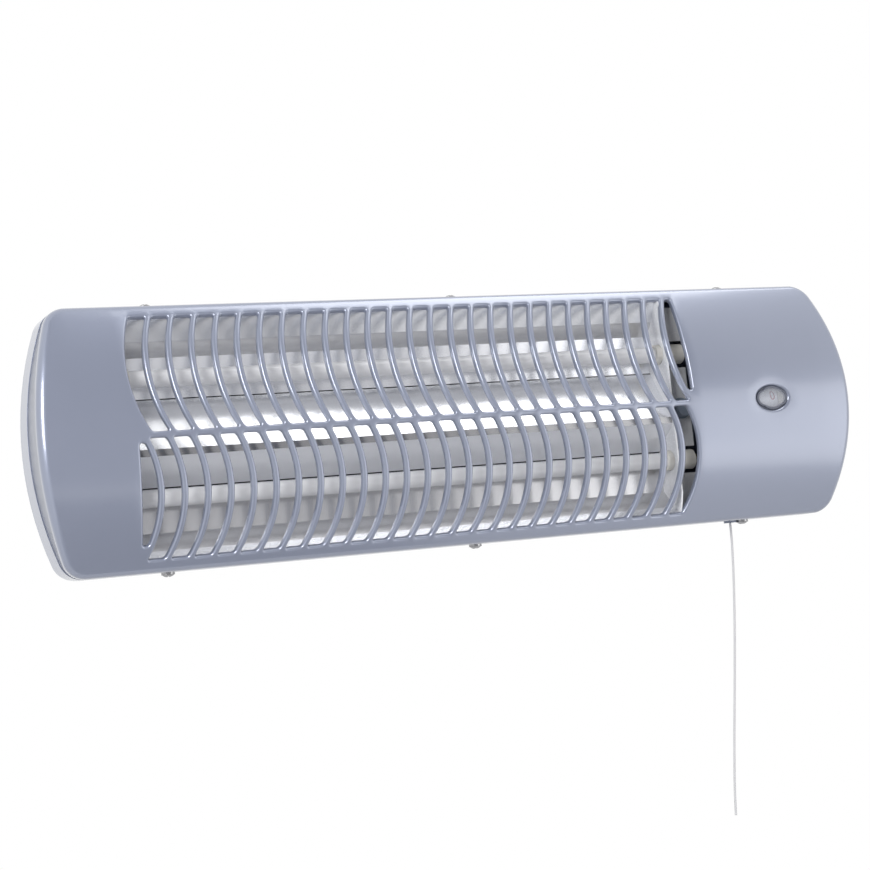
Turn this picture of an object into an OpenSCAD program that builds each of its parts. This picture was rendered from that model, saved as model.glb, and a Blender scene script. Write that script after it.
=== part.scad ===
// Wall-mounted quartz bar heater: a pressed steel body with an S-curved grille in front of two
// quartz tubes, a pull-cord switch with an indicator window, and a wall bracket it tilts on.
//
// Origin: the centre of the wall bracket's back face. +X runs along the heater, to the right
// for someone who looks at it, -Y points into the room and +Z is up.
// Pieces of the heater itself are drawn in a frame whose Y is 0 at the rim plane, the plane
// through the four corners of the front cover; in_body() carries them to their place.

/* [Body] */
// Overall length of the heater
body_l = 530; // [500:1:600]
// Overall height of the heater
body_h = 150; // [146:1:170]
// How far the face bulges forward between its top and bottom edges
face_bulge = 19; // [14:0.5:24]
// How far each end bulges out between its corners
end_bulge = 15; // [8:0.5:22]
// Radius of the four corners, seen from the front
corner_r = 14; // [8:0.5:20]
// Radius of the long edges where the face turns into the cover's side
edge_r = 5; // [3:0.5:6]
// Radius of the long edges at the back of the rear shell
back_edge_r = 5; // [2:0.5:7]
// Depth of the cover's side, from the rim plane back to the seam
cover_side = 8.6; // [7:0.1:10]
// Depth of the rear shell, from the seam to its back
shell_depth = 18.4; // [17:0.1:24]
// Shadow gap between the cover and the rear shell
seam_gap = 0.4; // [0.2:0.1:0.8]
// Thickness of the body's sheet steel
sheet = 1.0; // [0.8:0.1:1.2]
// How far the cover's inner flange reaches past the seam
flange_reach = 10; // [8:0.5:12]
// Clearance between the cover's inner flange and the rear shell
flange_gap = 0.15; // [0.1:0.05:0.3]

/* [Grille] */
// Distance between neighbouring bars
bar_pitch = 13.39; // [12.6:0.01:13.6]
// Width of a bar
bar_w = 3.6; // [3:0.1:4.4]
// Number of bars in each row
bar_n = 26; // [20:1:26]
// X of the first bar of the upper row, at the top
upper_x = -194.6; // [-196:0.1:-190]
// How far the upper bars lean to the right from their top to their foot
upper_lean = 4.0; // [0:0.5:6]
// Bow of the upper bars, to the left
upper_bow = 8.0; // [5:0.5:9]
// X of the first bar of the lower row, at the top
lower_x = -206.1; // [-208:0.1:-202]
// How far the lower bars lean to the left from their top to their foot
lower_lean = 2.8; // [0:0.5:5]
// Bow of the lower bars, to the right
lower_bow = 8.4; // [5:0.5:9]
// Distance from the middle of the face to the slots' outer ends
slot_reach = 68.2; // [66:0.1:69]
// Width of the rib between the two rows
rib_w = 3.6; // [3:0.1:6]
// Left end of the lower row, a straight edge
grille_left = -210.0; // [-211:0.1:-209]
// Right end of the upper row, a straight edge
grille_right = 145.8; // [145:0.1:148]

/* [Reflector and tubes] */
// Distance from the body's left end to the inner face of the left end bracket
element_in_left = 53; // [49:0.5:56]
// Distance from the body's right end to the inner face of the right end bracket
element_in_right = 128; // [126:0.5:133]
// Thickness of the reflector sheet
reflector_t = 0.6; // [0.4:0.1:0.8]
// Depth of the reflector's flat behind the tubes, from the rim plane
reflector_depth = 16; // [14:0.5:18]
// Distance from the middle of the reflector to its front lips
lip_reach = 70.5; // [69:0.5:71]
// Y of the ridge between the two troughs, ahead of the rim plane
ridge_rise = 4.3; // [2:0.1:6]
// Height of the ridge's flat middle line, below the middle of the face
ridge_drop = 8.8; // [6:0.1:10]
// Width of the ridge's flat
ridge_w = 3.9; // [3:0.1:6]
// Outer diameter of a quartz tube
tube_d = 10; // [9:0.5:10.5]
// Wall of a quartz tube
tube_wall = 0.9; // [0.7:0.1:1.2]
// Distance between the two tubes' axes
tube_spacing = 67.5; // [64:0.5:70]
// Depth of the tubes' axes behind the rim plane
tube_y = 4.3; // [3:0.1:5]
// How far each tube runs past the end brackets
tube_over = 10; // [8:0.5:12]
// Outer diameter of the heating coil
coil_d = 6; // [5:0.5:6.5]
// Thickness of the end brackets
bracket_t = 1.0; // [0.8:0.1:1.5]
// Length of a ceramic cap's body outside the bracket
cap_l = 14; // [12:0.5:16]
// Wall of a ceramic cap around the tube
cap_wall = 1.2; // [1:0.1:2]
// Width of the right bracket's front flange
flange_w = 20; // [16:1:22]

/* [Switch] */
// Distance from the right-hand end to the indicator window's centre
window_in = 61; // [57:0.5:63]
// Half width of the window
window_a = 10; // [8:0.1:12.5]
// Half height of the window
window_b = 6.1; // [5:0.1:7.2]
// Width of the dark ring round the window
bezel_w = 1.3; // [0.8:0.1:1.6]
// Diameter of the indicator drum
drum_d = 18; // [16:0.5:20]
// Width of the indicator drum
drum_w = 16; // [14:0.5:18]
// Depth of the switch shaft ahead of the rim plane
shaft_rise = 3; // [2:0.5:5]
// Diameter of the switch shaft
shaft_d = 4; // [3:0.5:5]
// Radial clearance of turning and sliding fits
run_gap = 0.05; // [0.02:0.01:0.1]
// Distance from the right-hand end to the pull cord
cord_in = 81; // [79:0.5:83]
// Depth of the pull cord behind the rim plane
cord_y = 15.5; // [14.5:0.5:17]
// Diameter of the pull cord
cord_d = 1.5; // [1.2:0.1:2]
// Diameter of the cord bush
bush_d = 8.0; // [7:0.1:8.2]
// How far the cord bush stands out of the body
bush_out = 1.2; // [0.8:0.1:3]
// Diameter of the mains cable that the inlet takes
cable_d = 7.2; // [6:0.1:8]

/* [Bracket] */
// Distance from the wall to the back of the heater
stand_off = 50; // [44:1:60]
// Distance from the wall to the tilt pivot
pivot_y = 26; // [22:1:30]
// Thickness of the bracket's and the ears' steel
ear_t = 2; // [1.5:0.1:2.5]
// Half the distance between the outer faces of the heater's ears
ear_x = 122; // [100:1:140]
// Radius of the ears round the pivot
ear_r = 10; // [8:0.5:12]
// Height of the bracket's wall plate
plate_h = 44; // [40:1:50]
// Distance between the wall holes along the plate
hole_span_x = 200; // [160:1:210]
// Distance between the wall holes up the plate
hole_span_z = 28; // [24:1:30]
// Diameter of the wall holes
wall_hole_d = 5.5; // [4.5:0.1:6]
// Diameter of the pivot bolts
pivot_d = 6; // [5:0.5:7]
// Thickness of the friction washers
washer_t = 1; // [0.6:0.1:1.5]
// Radius of the clamp knobs over their lobes
knob_r = 13; // [11:0.5:15]
// Height of the clamp knobs
knob_h = 17; // [14:0.5:20]

/* [Fasteners] */
// Diameter of the cover screws' heads
screw_head_d = 7.8; // [6.5:0.1:8.5]
// Height of the cover screws' heads
screw_head_h = 2.7; // [2:0.1:3.2]
// Diameter of the cover screws' shanks
screw_d = 3.8; // [3:0.1:4.2]
// Length of the cover screws' shanks
screw_l = 8; // [6:0.5:10]
// X distance between neighbouring cover screws
screw_pitch = 191.7; // [180:0.1:200]
// Depth of the cover screws behind the rim plane
screw_y = 13.2; // [13:0.1:14]
// Clearance of a screw in its hole, on the radius
screw_gap = 0.15; // [0.05:0.05:0.3]

/* [Hidden] */

// how finely round things are drawn: large arcs, ordinary rounds and small rods
fn_arc = 180;
fn_round = 48;
fn_small = 24;

// a little more than nothing, for cuts that run past a face
eps = 0.5;
// how far a rounding reaches past the two edges it joins
join_give = 0.02;

half_h = body_h / 2;
half_l = body_l / 2;
window_x = half_l - window_in;
cord_x = half_l - cord_in;
element_left = element_in_left - half_l;
element_right = half_l - element_in_right;
face_radius = (half_h * half_h + face_bulge * face_bulge) / (2 * face_bulge);
end_radius = (half_h * half_h + end_bulge * end_bulge) / (2 * end_bulge);
body_back = cover_side + shell_depth;
inner_back = body_back - sheet;
rim_y = -(stand_off + body_back);
tube_z = tube_spacing / 2;
tube_r = tube_d / 2;
cap_r = tube_r + 0.1 + cap_wall;
cap_flange_r = cap_r + 1.8;
cap_hole_r = cap_r + 0.2;
shaft_y = -shaft_rise;
shaft_r = shaft_d / 2;
drum_left = window_x + 0.5 - drum_w / 2;
drum_right = drum_left + drum_w;
mid_w = rib_w / 2;

// the distance from the rim plane forward to the outside of the face, at a height z
function face_rise(z) = sqrt(face_radius * face_radius - z * z) - (face_radius - face_bulge);
// the distance from the middle out to the outside of an end, at a height z
function end_reach(z) = sqrt(end_radius * end_radius - z * z) - (end_radius - half_l);

// ---- helpers ---------------------------------------------------------------------------

// carries a piece from the heater's own frame to its place off the wall
module in_body() {
    translate([0, rim_y, 0]) children();
}

// a flat shape drawn in X and Z, as thick as from y0 to y1
module slab_y(y0, y1) {
    translate([0, y1, 0]) rotate([90, 0, 0]) linear_extrude(y1 - y0) children();
}

// a section drawn in Y and Z, run from x0 to x1
module run_x(x0, x1) {
    translate([x0, 0, 0]) rotate([90, 0, 90]) linear_extrude(x1 - x0) children();
}

// a round bar along X, from x0 to x1
module rod_x(x0, x1, r, y, z, fn = fn_round) {
    translate([x0, y, z]) rotate([0, 90, 0]) cylinder(h = x1 - x0, r = r, $fn = fn);
}

// a round bar along Y, from y0 to y1
module rod_y(y0, y1, r, x, z, fn = fn_round) {
    translate([x, y1, z]) rotate([90, 0, 0]) cylinder(h = y1 - y0, r = r, $fn = fn);
}

// a round bar along Z, from z0 to z1
module rod_z(z0, z1, r, x, y, fn = fn_round) {
    translate([x, y, z0]) cylinder(h = z1 - z0, r = r, $fn = fn);
}

// a box from one corner to the other
module block(low, high) {
    translate(low) cube(high - low);
}

// a strip of half height a, from x = back to an arc of radius r_arc about [c, 0], whose two
// corners are rounded with the radius r; each rounding crosses the edges it joins at a very
// small angle, which the exact rebuild takes better than a true tangent
module arc_end(back, c, r_arc, a, r) {
    join_a = a - r + join_give;
    join_x = c + sqrt(pow(r_arc - r + join_give, 2) - join_a * join_a);
    corner_x = c + sqrt(r_arc * r_arc - a * a);
    out = (r_arc + 2 * eps) / (r_arc - r);
    difference() {
        intersection() {
            translate([back, -a]) square([c + r_arc + eps - back, 2 * a]);
            translate([c, 0]) circle(r_arc, $fn = fn_arc);
        }
        for (s = [-1, 1]) difference() {
            polygon([[join_x, s * join_a], [join_x, s * (a + eps)],
                [corner_x + r, s * (a + eps)],
                [c + (join_x - c) * out, s * join_a * out]]);
            translate([join_x, s * join_a]) circle(r, $fn = fn_round);
        }
    }
}

// the body's outline seen from the front, moved in by inset
module outline(inset = 0) {
    for (a = [0, 180]) rotate(a)
        arc_end(-1, half_l - end_radius, end_radius - inset, half_h - inset, corner_r - inset);
}

// the section of the arched face, moved in by inset and open to the back
module face_section(inset = 0) {
    rotate(180)
        arc_end(-(body_back + eps), face_bulge - face_radius, face_radius - inset,
            half_h - inset, edge_r - inset);
}

// an oval of half sizes a and b, made of four arcs
module oval(a, b) {
    tip_r = b * 0.68;
    tip_x = a - tip_r;
    d = (tip_x * tip_x + tip_r * tip_r - b * b) / (2 * (b - tip_r));
    side_r = b + d;
    touch_x = tip_x * side_r / (side_r - tip_r);
    intersection() {
        translate([-touch_x, -b]) square([2 * touch_x, 2 * b]);
        translate([0, -d]) circle(side_r, $fn = fn_arc);
        translate([0, d]) circle(side_r, $fn = fn_arc);
    }
    for (s = [-1, 1]) translate([s * tip_x, 0]) circle(tip_r, $fn = fn_round);
}

function unit(v) = v / norm(v);

// a route with each of its inner corners eased over a distance r
function eased(route, r) = let(n = len(route)) concat([route[0]],
    [for (i = [1:n - 2])
        let(a = route[i] + r * unit(route[i - 1] - route[i]),
            b = route[i] + r * unit(route[i + 1] - route[i]))
        for (q = [a, (a + 2 * route[i] + b) / 4, b]) q],
    [route[n - 1]]);

// the triangles of a tube whose rings stand at n places along it
function tube_faces(n, sides) = concat([[for (k = [sides - 1:-1:0]) k]],
    [for (i = [0:n - 2], k = [0:sides - 1])
        [i * sides + k, i * sides + (k + 1) % sides,
            (i + 1) * sides + (k + 1) % sides, (i + 1) * sides + k]],
    [[for (k = [0:sides - 1]) (n - 1) * sides + k]]);

wire_sides = 8;
wire_ease = 3;

// a round wire along a route that never runs straight to the front or the back
module wire(route, r) {
    p = eased(route, wire_ease);
    n = len(p);
    rings = [for (i = [0:n - 1])
        let(along = unit((i < n - 1 ? unit(p[i + 1] - p[i]) : [0, 0, 0])
                + (i > 0 ? unit(p[i] - p[i - 1]) : [0, 0, 0])),
            u = unit(cross([0, 1, 0], along)),
            v = cross(along, u))
        for (k = [0:wire_sides - 1])
            p[i] + r * (u * cos(360 * k / wire_sides) + v * sin(360 * k / wire_sides))];
    polyhedron(points = rings, faces = tube_faces(n, wire_sides), convexity = 4);
}

// a pan-head screw that points down -Z, with the seat of its head at the origin
module pan_screw(head_d, head_h, shank_d, length) {
    dome_r = (head_d * head_d / 4 + head_h * head_h) / (2 * head_h);
    difference() {
        intersection() {
            translate([0, 0, head_h - dome_r]) sphere(dome_r, $fn = fn_round);
            cylinder(h = head_h + eps, r = head_d / 2 - 0.1, $fn = fn_round);
        }
        for (a = [0, 90]) rotate([0, 0, a])
            translate([-head_d * 0.27, -0.45, head_h - 1.1]) cube([head_d * 0.54, 0.9, 2]);
    }
    translate([0, 0, -length]) cylinder(h = length + 0.1, r = shank_d / 2, $fn = fn_small);
}

// ---- the cover and the shell -----------------------------------------------------------

// the solid that the cover is drawn over, moved in by inset
module cover_form(inset, back) {
    intersection() {
        slab_y(-face_bulge - eps, back) outline(inset);
        run_x(-half_l - eps, half_l + eps) face_section(inset);
    }
}

// the solid of the rear shell, moved in by inset
module shell_form(inset, front) {
    a = half_h - inset;
    back = body_back - inset;
    r = back_edge_r - inset;
    intersection() {
        slab_y(front, back) outline(inset);
        run_x(-half_l - eps, half_l + eps) union() {
            translate([front - eps, -a]) square([back - r - front + eps, 2 * a]);
            translate([front - eps, r - a]) square([back - front + eps, 2 * (a - r)]);
            for (s = [-1, 1]) translate([back - r, s * (a - r)]) circle(r, $fn = fn_round);
        }
    }
}

// the disc whose left or right side is the middle line of a bowed bar: from the bar's top
// to its foot, its chord leans by lean and its bow is to the side given
module bow_disc(x_top, z_top, z_foot, lean, bow, side, r_more = 0) {
    chord = norm([lean, z_top - z_foot]);
    bow_r = (chord * chord / 4 + bow * bow) / (2 * bow);
    across = [(z_top - z_foot) / chord, lean / chord];
    middle = [x_top + lean / 2, (z_top + z_foot) / 2];
    translate(middle - side * (bow_r - bow) * across) circle(bow_r, $fn = fn_arc);
}

// the slots of the upper row: slot k lies to the right of bar k, and bar 0 is not drawn
module upper_slots() {
    for (k = [0:bar_n]) intersection() {
        translate([-half_l, mid_w]) square([half_l + grille_right, slot_reach - mid_w]);
        difference() {
            bow_disc(upper_x + (k - 1) * bar_pitch + bar_w / 2, slot_reach, mid_w,
                upper_lean, upper_bow, -1);
            bow_disc(upper_x + k * bar_pitch - bar_w / 2, slot_reach, mid_w,
                upper_lean, upper_bow, -1);
        }
    }
}

// the slots of the lower row: slot k lies to the left of bar k + 1
module lower_slots() {
    for (k = [0:bar_n]) intersection() {
        translate([grille_left, -slot_reach]) square([body_l, slot_reach - mid_w]);
        difference() {
            bow_disc(lower_x + k * bar_pitch - bar_w / 2, -mid_w, -slot_reach,
                -lower_lean, lower_bow, 1);
            bow_disc(lower_x + (k - 1) * bar_pitch + bar_w / 2, -mid_w, -slot_reach,
                -lower_lean, lower_bow, 1);
        }
    }
}

// where the cover screws stand: along X, on the top or the bottom
screw_places = [-screw_pitch, 0, screw_pitch];

module front_cover() {
    flange_in = 2 * sheet + flange_gap;
    color("#a3a8b8") in_body() difference() {
        union() {
            difference() {
                cover_form(0, cover_side);
                cover_form(sheet, cover_side + eps);
            }
            difference() {
                slab_y(cover_side - 4, cover_side + flange_reach) outline(sheet + flange_gap);
                slab_y(cover_side - 4 - eps, cover_side + flange_reach + eps)
                    outline(flange_in);
            }
            difference() {
                slab_y(cover_side - 4, cover_side - 2) outline(sheet / 2);
                slab_y(cover_side - 4 - eps, cover_side - 2 + eps) outline(flange_in);
            }
        }
        slab_y(-face_bulge - 1, -eps) union() {
            upper_slots();
            lower_slots();
        }
        slab_y(-face_bulge - 1, -eps) translate([window_x, 0])
            oval(window_a + bezel_w + 0.1, window_b + bezel_w + 0.1);
        for (x = screw_places) rod_z(-half_h - eps, half_h + eps, screw_d / 2, x, screw_y);
        rod_z(-half_h - eps, -half_h + flange_in + eps, bush_d / 2 + 0.5, cord_x, cord_y);
    }
}

// a rounded slot, drawn upright
module vent(w, h) {
    square([w, h - w], center = true);
    for (s = [-1, 1]) translate([0, s * (h - w) / 2]) circle(w / 2, $fn = fn_small);
}

vent_n = 9;
vent_pitch = 12;
vent_w = 4;
vent_h = 26;
vent_z = 42;
gland_in = 27;
gland_x = half_l - gland_in;
gland_z = -38;
gland_r = cable_d / 2 + 2.4;

module rear_shell() {
    color("#9aa0b0") in_body() difference() {
        shell_form(0, cover_side + seam_gap);
        shell_form(sheet, cover_side);
        for (x = screw_places)
            rod_z(-half_h - eps, half_h + eps, screw_d / 2 + screw_gap, x, screw_y);
        rod_z(-half_h - eps, -half_h + 4, bush_d / 2 - 1, cord_x, cord_y);
        for (s = [-1, 1], k = [0:vent_n - 1]) slab_y(inner_back - eps, body_back + eps)
            translate([element_middle + (k - (vent_n - 1) / 2) * vent_pitch, s * vent_z])
                vent(vent_w, vent_h);
        rod_y(inner_back - eps, body_back + eps, gland_r, gland_x, gland_z);
        for (p = inner_screw_places)
            rod_y(inner_back - eps, body_back + eps, inner_screw_d / 2 + screw_gap, p[0], p[1]);
        for (s = [-1, 1], t = [-1, 1])
            rod_y(inner_back - eps, body_back + eps, rivet_d / 2 + run_gap,
                s * rivet_x, t * rivet_z);
    }
}

// ---- the reflector and the tubes --------------------------------------------------------

element_middle = (element_left + element_right) / 2;

// the reflector's section, from its top lip to its bottom lip, as Y and Z
reflector_path = [
    [-0.4, lip_reach],
    [reflector_depth - 7.4, lip_reach - 14.9],
    [reflector_depth - 1, lip_reach - 23.4],
    [reflector_depth, 23.3],
    [-ridge_rise, -ridge_drop + ridge_w / 2],
    [-ridge_rise, -ridge_drop - ridge_w / 2],
    [reflector_depth, -28.2],
    [reflector_depth - 1, -(lip_reach - 17.9)],
    [reflector_depth - 7.4, -(lip_reach - 11.5)],
    [-0.4, -lip_reach]];

module reflector() {
    n = len(reflector_path);
    color("#d9dade") in_body() run_x(element_left, element_right)
        polygon(concat(reflector_path,
            [for (i = [n - 1:-1:0]) reflector_path[i] + [reflector_t, 0]]));
}

// half heights of an end bracket: its front flange, the outer and inner ends of the steps in
// its web's front edge, and its rear flange
front_flange_h = 64;
web_step_h = 62;
web_front_h = 55;
rear_flange_h = 60;

// one end bracket, drawn at the origin with its outside towards +X; its front flange is as
// wide as front_w
module end_bracket(front_w) {
    web_z = lip_reach + 0.3;
    difference() {
        union() {
            run_x(0, bracket_t) polygon([[-0.3, web_z], [-4, web_step_h], [-6, web_front_h],
                [-6, -web_front_h], [-4, -web_step_h], [-0.3, -web_z],
                [inner_back, -web_z], [inner_back, web_z]]);
            block([0, inner_back - bracket_t, -rear_flange_h],
                [flange_w - 4, inner_back, rear_flange_h]);
            block([0, tube_y + 1, -front_flange_h],
                [front_w, tube_y + 1 + bracket_t, front_flange_h]);
        }
        for (s = [-1, 1]) {
            rod_x(-eps, bracket_t + eps, cap_hole_r, tube_y, s * tube_z);
            block([bracket_t, tube_y, s * tube_z - cap_flange_r - 0.4],
                [front_w + eps, tube_y + 3, s * tube_z + cap_flange_r + 0.4]);
            rod_y(inner_back - bracket_t - eps, inner_back + eps, inner_screw_d / 2,
                bracket_screw_x, s * bracket_screw_z);
        }
    }
}

bracket_screw_x = 9;
bracket_screw_z = 48;

module end_bracket_right() {
    color("#e0e1e5") in_body() translate([element_right, 0, 0]) end_bracket(flange_w);
}

module end_bracket_left() {
    color("#e0e1e5") in_body() translate([element_left, 0, 0]) mirror([1, 0, 0])
        end_bracket(cap_l - 2);
}

module quartz_tube(z) {
    color("#f2f2f4") in_body() difference() {
        rod_x(element_left - tube_over, element_right + tube_over, tube_r, tube_y, z);
        rod_x(element_left - tube_over - eps, element_right + tube_over + eps,
            tube_r - tube_wall, tube_y, z);
    }
}

module quartz_tube_upper() {
    quartz_tube(tube_z);
}

module quartz_tube_lower() {
    quartz_tube(-tube_z);
}

coil_tail_r = 0.8;

// the coil's outer form, with its straight tails seated in the caps
module coil(z) {
    color("#8c8078") in_body() {
        rod_x(element_left + 6, element_right - 6, coil_d / 2, tube_y, z, fn_small);
        for (s = [-1, 1]) {
            x_in = s > 0 ? element_right - 7 : element_left + 7;
            x_out = s > 0 ? element_right + tube_over : element_left - tube_over;
            rod_x(min(x_in, x_out), max(x_in, x_out), coil_tail_r, tube_y, z, fn_small);
        }
    }
}

module coil_upper() {
    coil(tube_z);
}

module coil_lower() {
    coil(-tube_z);
}

// puts a piece drawn with +X outwards at each end of each tube
module at_tube_ends() {
    for (z = [-tube_z, tube_z]) {
        translate([element_right, tube_y, z]) children();
        translate([element_left, tube_y, z]) mirror([1, 0, 0]) children();
    }
}

stud_r = 2;
stud_out = 9;
nut_from = cap_l + 3;
nut_h = 3;
nut_r = 3.6;

module ceramic_caps() {
    color("#e9e4d8") in_body() at_tube_ends() difference() {
        union() {
            rod_x(-4, cap_l + 2, cap_r, 0, 0);
            rod_x(bracket_t, bracket_t + 3, cap_flange_r, 0, 0);
        }
        rod_x(-5, tube_over, tube_r + 0.1, 0, 0);
        rod_x(tube_over - eps, cap_l + 3, stud_r, 0, 0, fn_small);
    }
}

module tube_terminals() {
    color("#c9a85a") in_body() at_tube_ends() {
        rod_x(tube_over, cap_l + 2 + stud_out, stud_r, 0, 0, fn_small);
        difference() {
            rod_x(nut_from, nut_from + nut_h, nut_r, 0, 0, 6);
            rod_x(nut_from - eps, nut_from + nut_h + eps, stud_r - 0.1, 0, 0, fn_small);
        }
    }
}

// the strap that joins the left ends of the two tubes
module link_strap() {
    x = element_left - cap_l - 2;
    color("#cfd1d6") in_body() difference() {
        union() {
            block([x - 1, tube_y - 4, -tube_z], [x, tube_y + 4, tube_z]);
            for (z = [-tube_z, tube_z]) rod_x(x - 1, x, 4.5, tube_y, z);
        }
        for (z = [-tube_z, tube_z])
            rod_x(x - 1 - eps, x + eps, stud_r + 0.02, tube_y, z, fn_small);
    }
}

cutout_x = element_right + 13;
cutout_z = -1;
cutout_r = 5.5;
// the cut-out's two tabs: how far they stand from its middle, their end and their depth
tab_z = 2.6;
tab_end = cutout_x + 10;
lead_y = tube_y + 1 - 3;

// the bimetal cut-out, on the middle tab of the right bracket's front flange
module thermal_cutout() {
    front = tube_y + 1;
    color("#5c6478") in_body() {
        rod_y(front - 6, front, cutout_r, cutout_x, cutout_z);
        rod_y(front - 1, front, cutout_r + 1.2, cutout_x, cutout_z);
        for (s = [-1, 1])
            block([cutout_x + 4, lead_y - 0.4, cutout_z + s * tab_z - 1],
                [tab_end, lead_y + 0.4, cutout_z + s * tab_z + 1]);
    }
}

// ---- the wiring ------------------------------------------------------------------------

wire_r = 1.1;
stud_end = element_right + cap_l + 2 + stud_out;
// where the feed wire turns down to the switch: how far along the switch, and how high
feed_along = 8;
feed_z = 26;

module heater_wires() {
    color("#ece8dc") in_body() {
        wire([[stud_end, tube_y, tube_z], [stud_end + 7, tube_y, tube_z],
            [stud_end + 14, tube_y, tube_z + 4], [window_x, tube_y, tube_z + 4],
            [body_x + feed_along, 2, feed_z], [body_x + feed_along, 2, body_top]], wire_r);
        wire([[stud_end, tube_y, -tube_z], [stud_end + 7, tube_y, -tube_z],
            [stud_end + 9, tube_y, -tube_z + 8],
            [tab_end + 8, lead_y, cutout_z - tab_z], [tab_end, lead_y, cutout_z - tab_z]],
            wire_r);
        wire([[tab_end, lead_y, cutout_z + tab_z], [tab_end + 7, lead_y, cutout_z + tab_z],
            [tab_end + 10, lead_y, 16], [window_x, 6, 21], [body_x + 4, 2, 21],
            [body_x + 4, 2, body_top]], wire_r);
    }
}

// the switch body, to the right of the drum
body_x = drum_right + 1.5;
body_w = 20;
body_top = 15;

block_x = window_x - 8;
block_z = -52;
block_l = 30;
block_h = 15;
block_y = inner_back - 13;

module supply_wires() {
    color("#7a5a3c") in_body() for (k = [0, 1]) wire([
        [body_x + 5 + 9 * k, 4, -body_top],
        [body_x + 5 + 9 * k, 4, -body_top - 6.5],
        [block_x + 9 + 12 * k, block_y + 6, block_z + block_h + 6],
        [block_x + 9 + 12 * k, block_y + 6, block_z + block_h]], wire_r);
}

module terminal_block() {
    color("#e8e6de") in_body() difference() {
        union() {
            block([block_x, block_y, block_z],
                [block_x + block_l, inner_back, block_z + block_h]);
            for (k = [0:2])
                rod_y(block_y - 1.5, block_y + 1, 3.2, block_x + 5 + 10 * k,
                    block_z + block_h / 2, fn_small);
        }
        for (k = [0:2])
            rod_y(block_y - 2, block_y + 4, 1.9, block_x + 5 + 10 * k,
                block_z + block_h / 2, fn_small);
    }
}

// the grommet in the back through which a mains cable enters
module mains_gland() {
    color("#3a3c42") in_body() difference() {
        union() {
            rod_y(inner_back - 3, body_back + 3.5, gland_r, gland_x, gland_z);
            rod_y(body_back, body_back + 3.5, gland_r + 2, gland_x, gland_z);
            rod_y(inner_back - 2.5, inner_back, gland_r + 1.6, gland_x, gland_z);
        }
        rod_y(inner_back - 4, body_back + 4, cable_d / 2, gland_x, gland_z);
    }
}

// ---- the switch ------------------------------------------------------------------------

frame_t = 1.5;
frame_half_w = 9;
frame_half_h = 9;
frame_foot_h = 12;
frame_left = cord_x - frame_half_w;
frame_right = body_x + body_w + 0.3;
lever_x = cord_x;
arm_l = cord_y - shaft_y;
spring_r = 3;
spring_foot = 4.0;
spring_top = 26;

module switch_frame() {
    side_front = shaft_y - 5;
    color("#c4c8ce") in_body() difference() {
        union() {
            block([frame_left, inner_back - frame_t, -frame_foot_h],
                [frame_right + frame_t, inner_back, frame_foot_h]);
            for (x = [frame_left, frame_right])
                block([x, side_front, -frame_half_h],
                    [x + frame_t, inner_back, frame_half_h]);
            block([cord_x - 4, inner_back - frame_t, 0],
                [cord_x + 4, inner_back, spring_top + frame_t]);
            block([cord_x - 4, cord_y - 4, spring_top],
                [cord_x + 4, inner_back, spring_top + frame_t]);
        }
        rod_x(frame_left - eps, frame_left + frame_t + eps, shaft_r + run_gap, shaft_y, 0);
        for (p = frame_screw_places)
            rod_y(inner_back - frame_t - eps, inner_back + eps, inner_screw_d / 2, p[0], p[1]);
    }
}

module switch_body() {
    color("#d8d4c8") in_body() difference() {
        block([body_x, shaft_y - 9, -body_top], [body_x + body_w, inner_back - frame_t,
            body_top]);
        rod_x(body_x - eps, body_x + 9, shaft_r + run_gap, shaft_y, 0);
    }
}

// the shaft turns with the drum and the ratchet wheel
module switch_shaft() {
    color("#b8bcc2") in_body()
        rod_x(frame_left - 1.5, body_x + 8.5, shaft_r, shaft_y, 0);
}

module indicator_drum() {
    color("#f4f4f2") in_body() difference() {
        rod_x(drum_left, drum_right, drum_d / 2, shaft_y, 0);
        rod_x(drum_left - eps, drum_right + eps, shaft_r, shaft_y, 0);
    }
}

tooth_n = 12;
wheel_r = 7;
wheel_root = 5.6;
wheel_left = drum_left - 4;

module ratchet_wheel() {
    color("#caa24a") in_body() difference() {
        translate([wheel_left, shaft_y, 0]) rotate([90, 0, 90]) linear_extrude(3)
            polygon([for (k = [0:tooth_n - 1], part = [0, 1])
                (part == 0 ? wheel_r : wheel_root)
                    * [cos(360 * k / tooth_n), sin(360 * k / tooth_n)]]);
        rod_x(wheel_left - eps, wheel_left + 3 + eps, shaft_r, shaft_y, 0);
    }
}

lever_t = 2.5;
hub_r = 4.6;
pin_r = 0.9;
slot_r = pin_r + 0.45;

// the lever that the cord pulls down: a hub on the shaft, and an arm with a slotted eye
module pull_lever() {
    x0 = lever_x - lever_t / 2;
    x1 = lever_x + lever_t / 2;
    color("#d2cfc4") in_body() difference() {
        union() {
            rod_x(x0, wheel_left - 0.4, hub_r, shaft_y, 0);
            block([x0, shaft_y, -3.6], [x1, cord_y + 2, 3.6]);
            rod_x(x0, x1, 3.6, cord_y + 2, 0);
        }
        rod_x(x0 - eps, wheel_left + eps, shaft_r + run_gap, shaft_y, 0);
        for (dy = [0, 3]) rod_x(x0 - eps, x1 + eps, slot_r, cord_y + dy, 0, fn_small);
        block([x0 - eps, cord_y, -slot_r], [x1 + eps, cord_y + 3, slot_r]);
    }
}

// the pawl on the lever's hub, whose tip rides over the wheel
module pawl() {
    tip = wheel_r + 0.3;
    x0 = lever_x + lever_t / 2;
    color("#c8b070") in_body() difference() {
        union() {
            block([x0, shaft_y - 1.5, tip], [wheel_left + 3, shaft_y + 1.5, tip + 1.2]);
            block([x0, shaft_y - 1.5, 4], [x0 + 1.2, shaft_y + 1.5, tip + 1.2]);
        }
        rod_x(x0 - eps, x0 + 2, hub_r, shaft_y, 0);
    }
}

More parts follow.
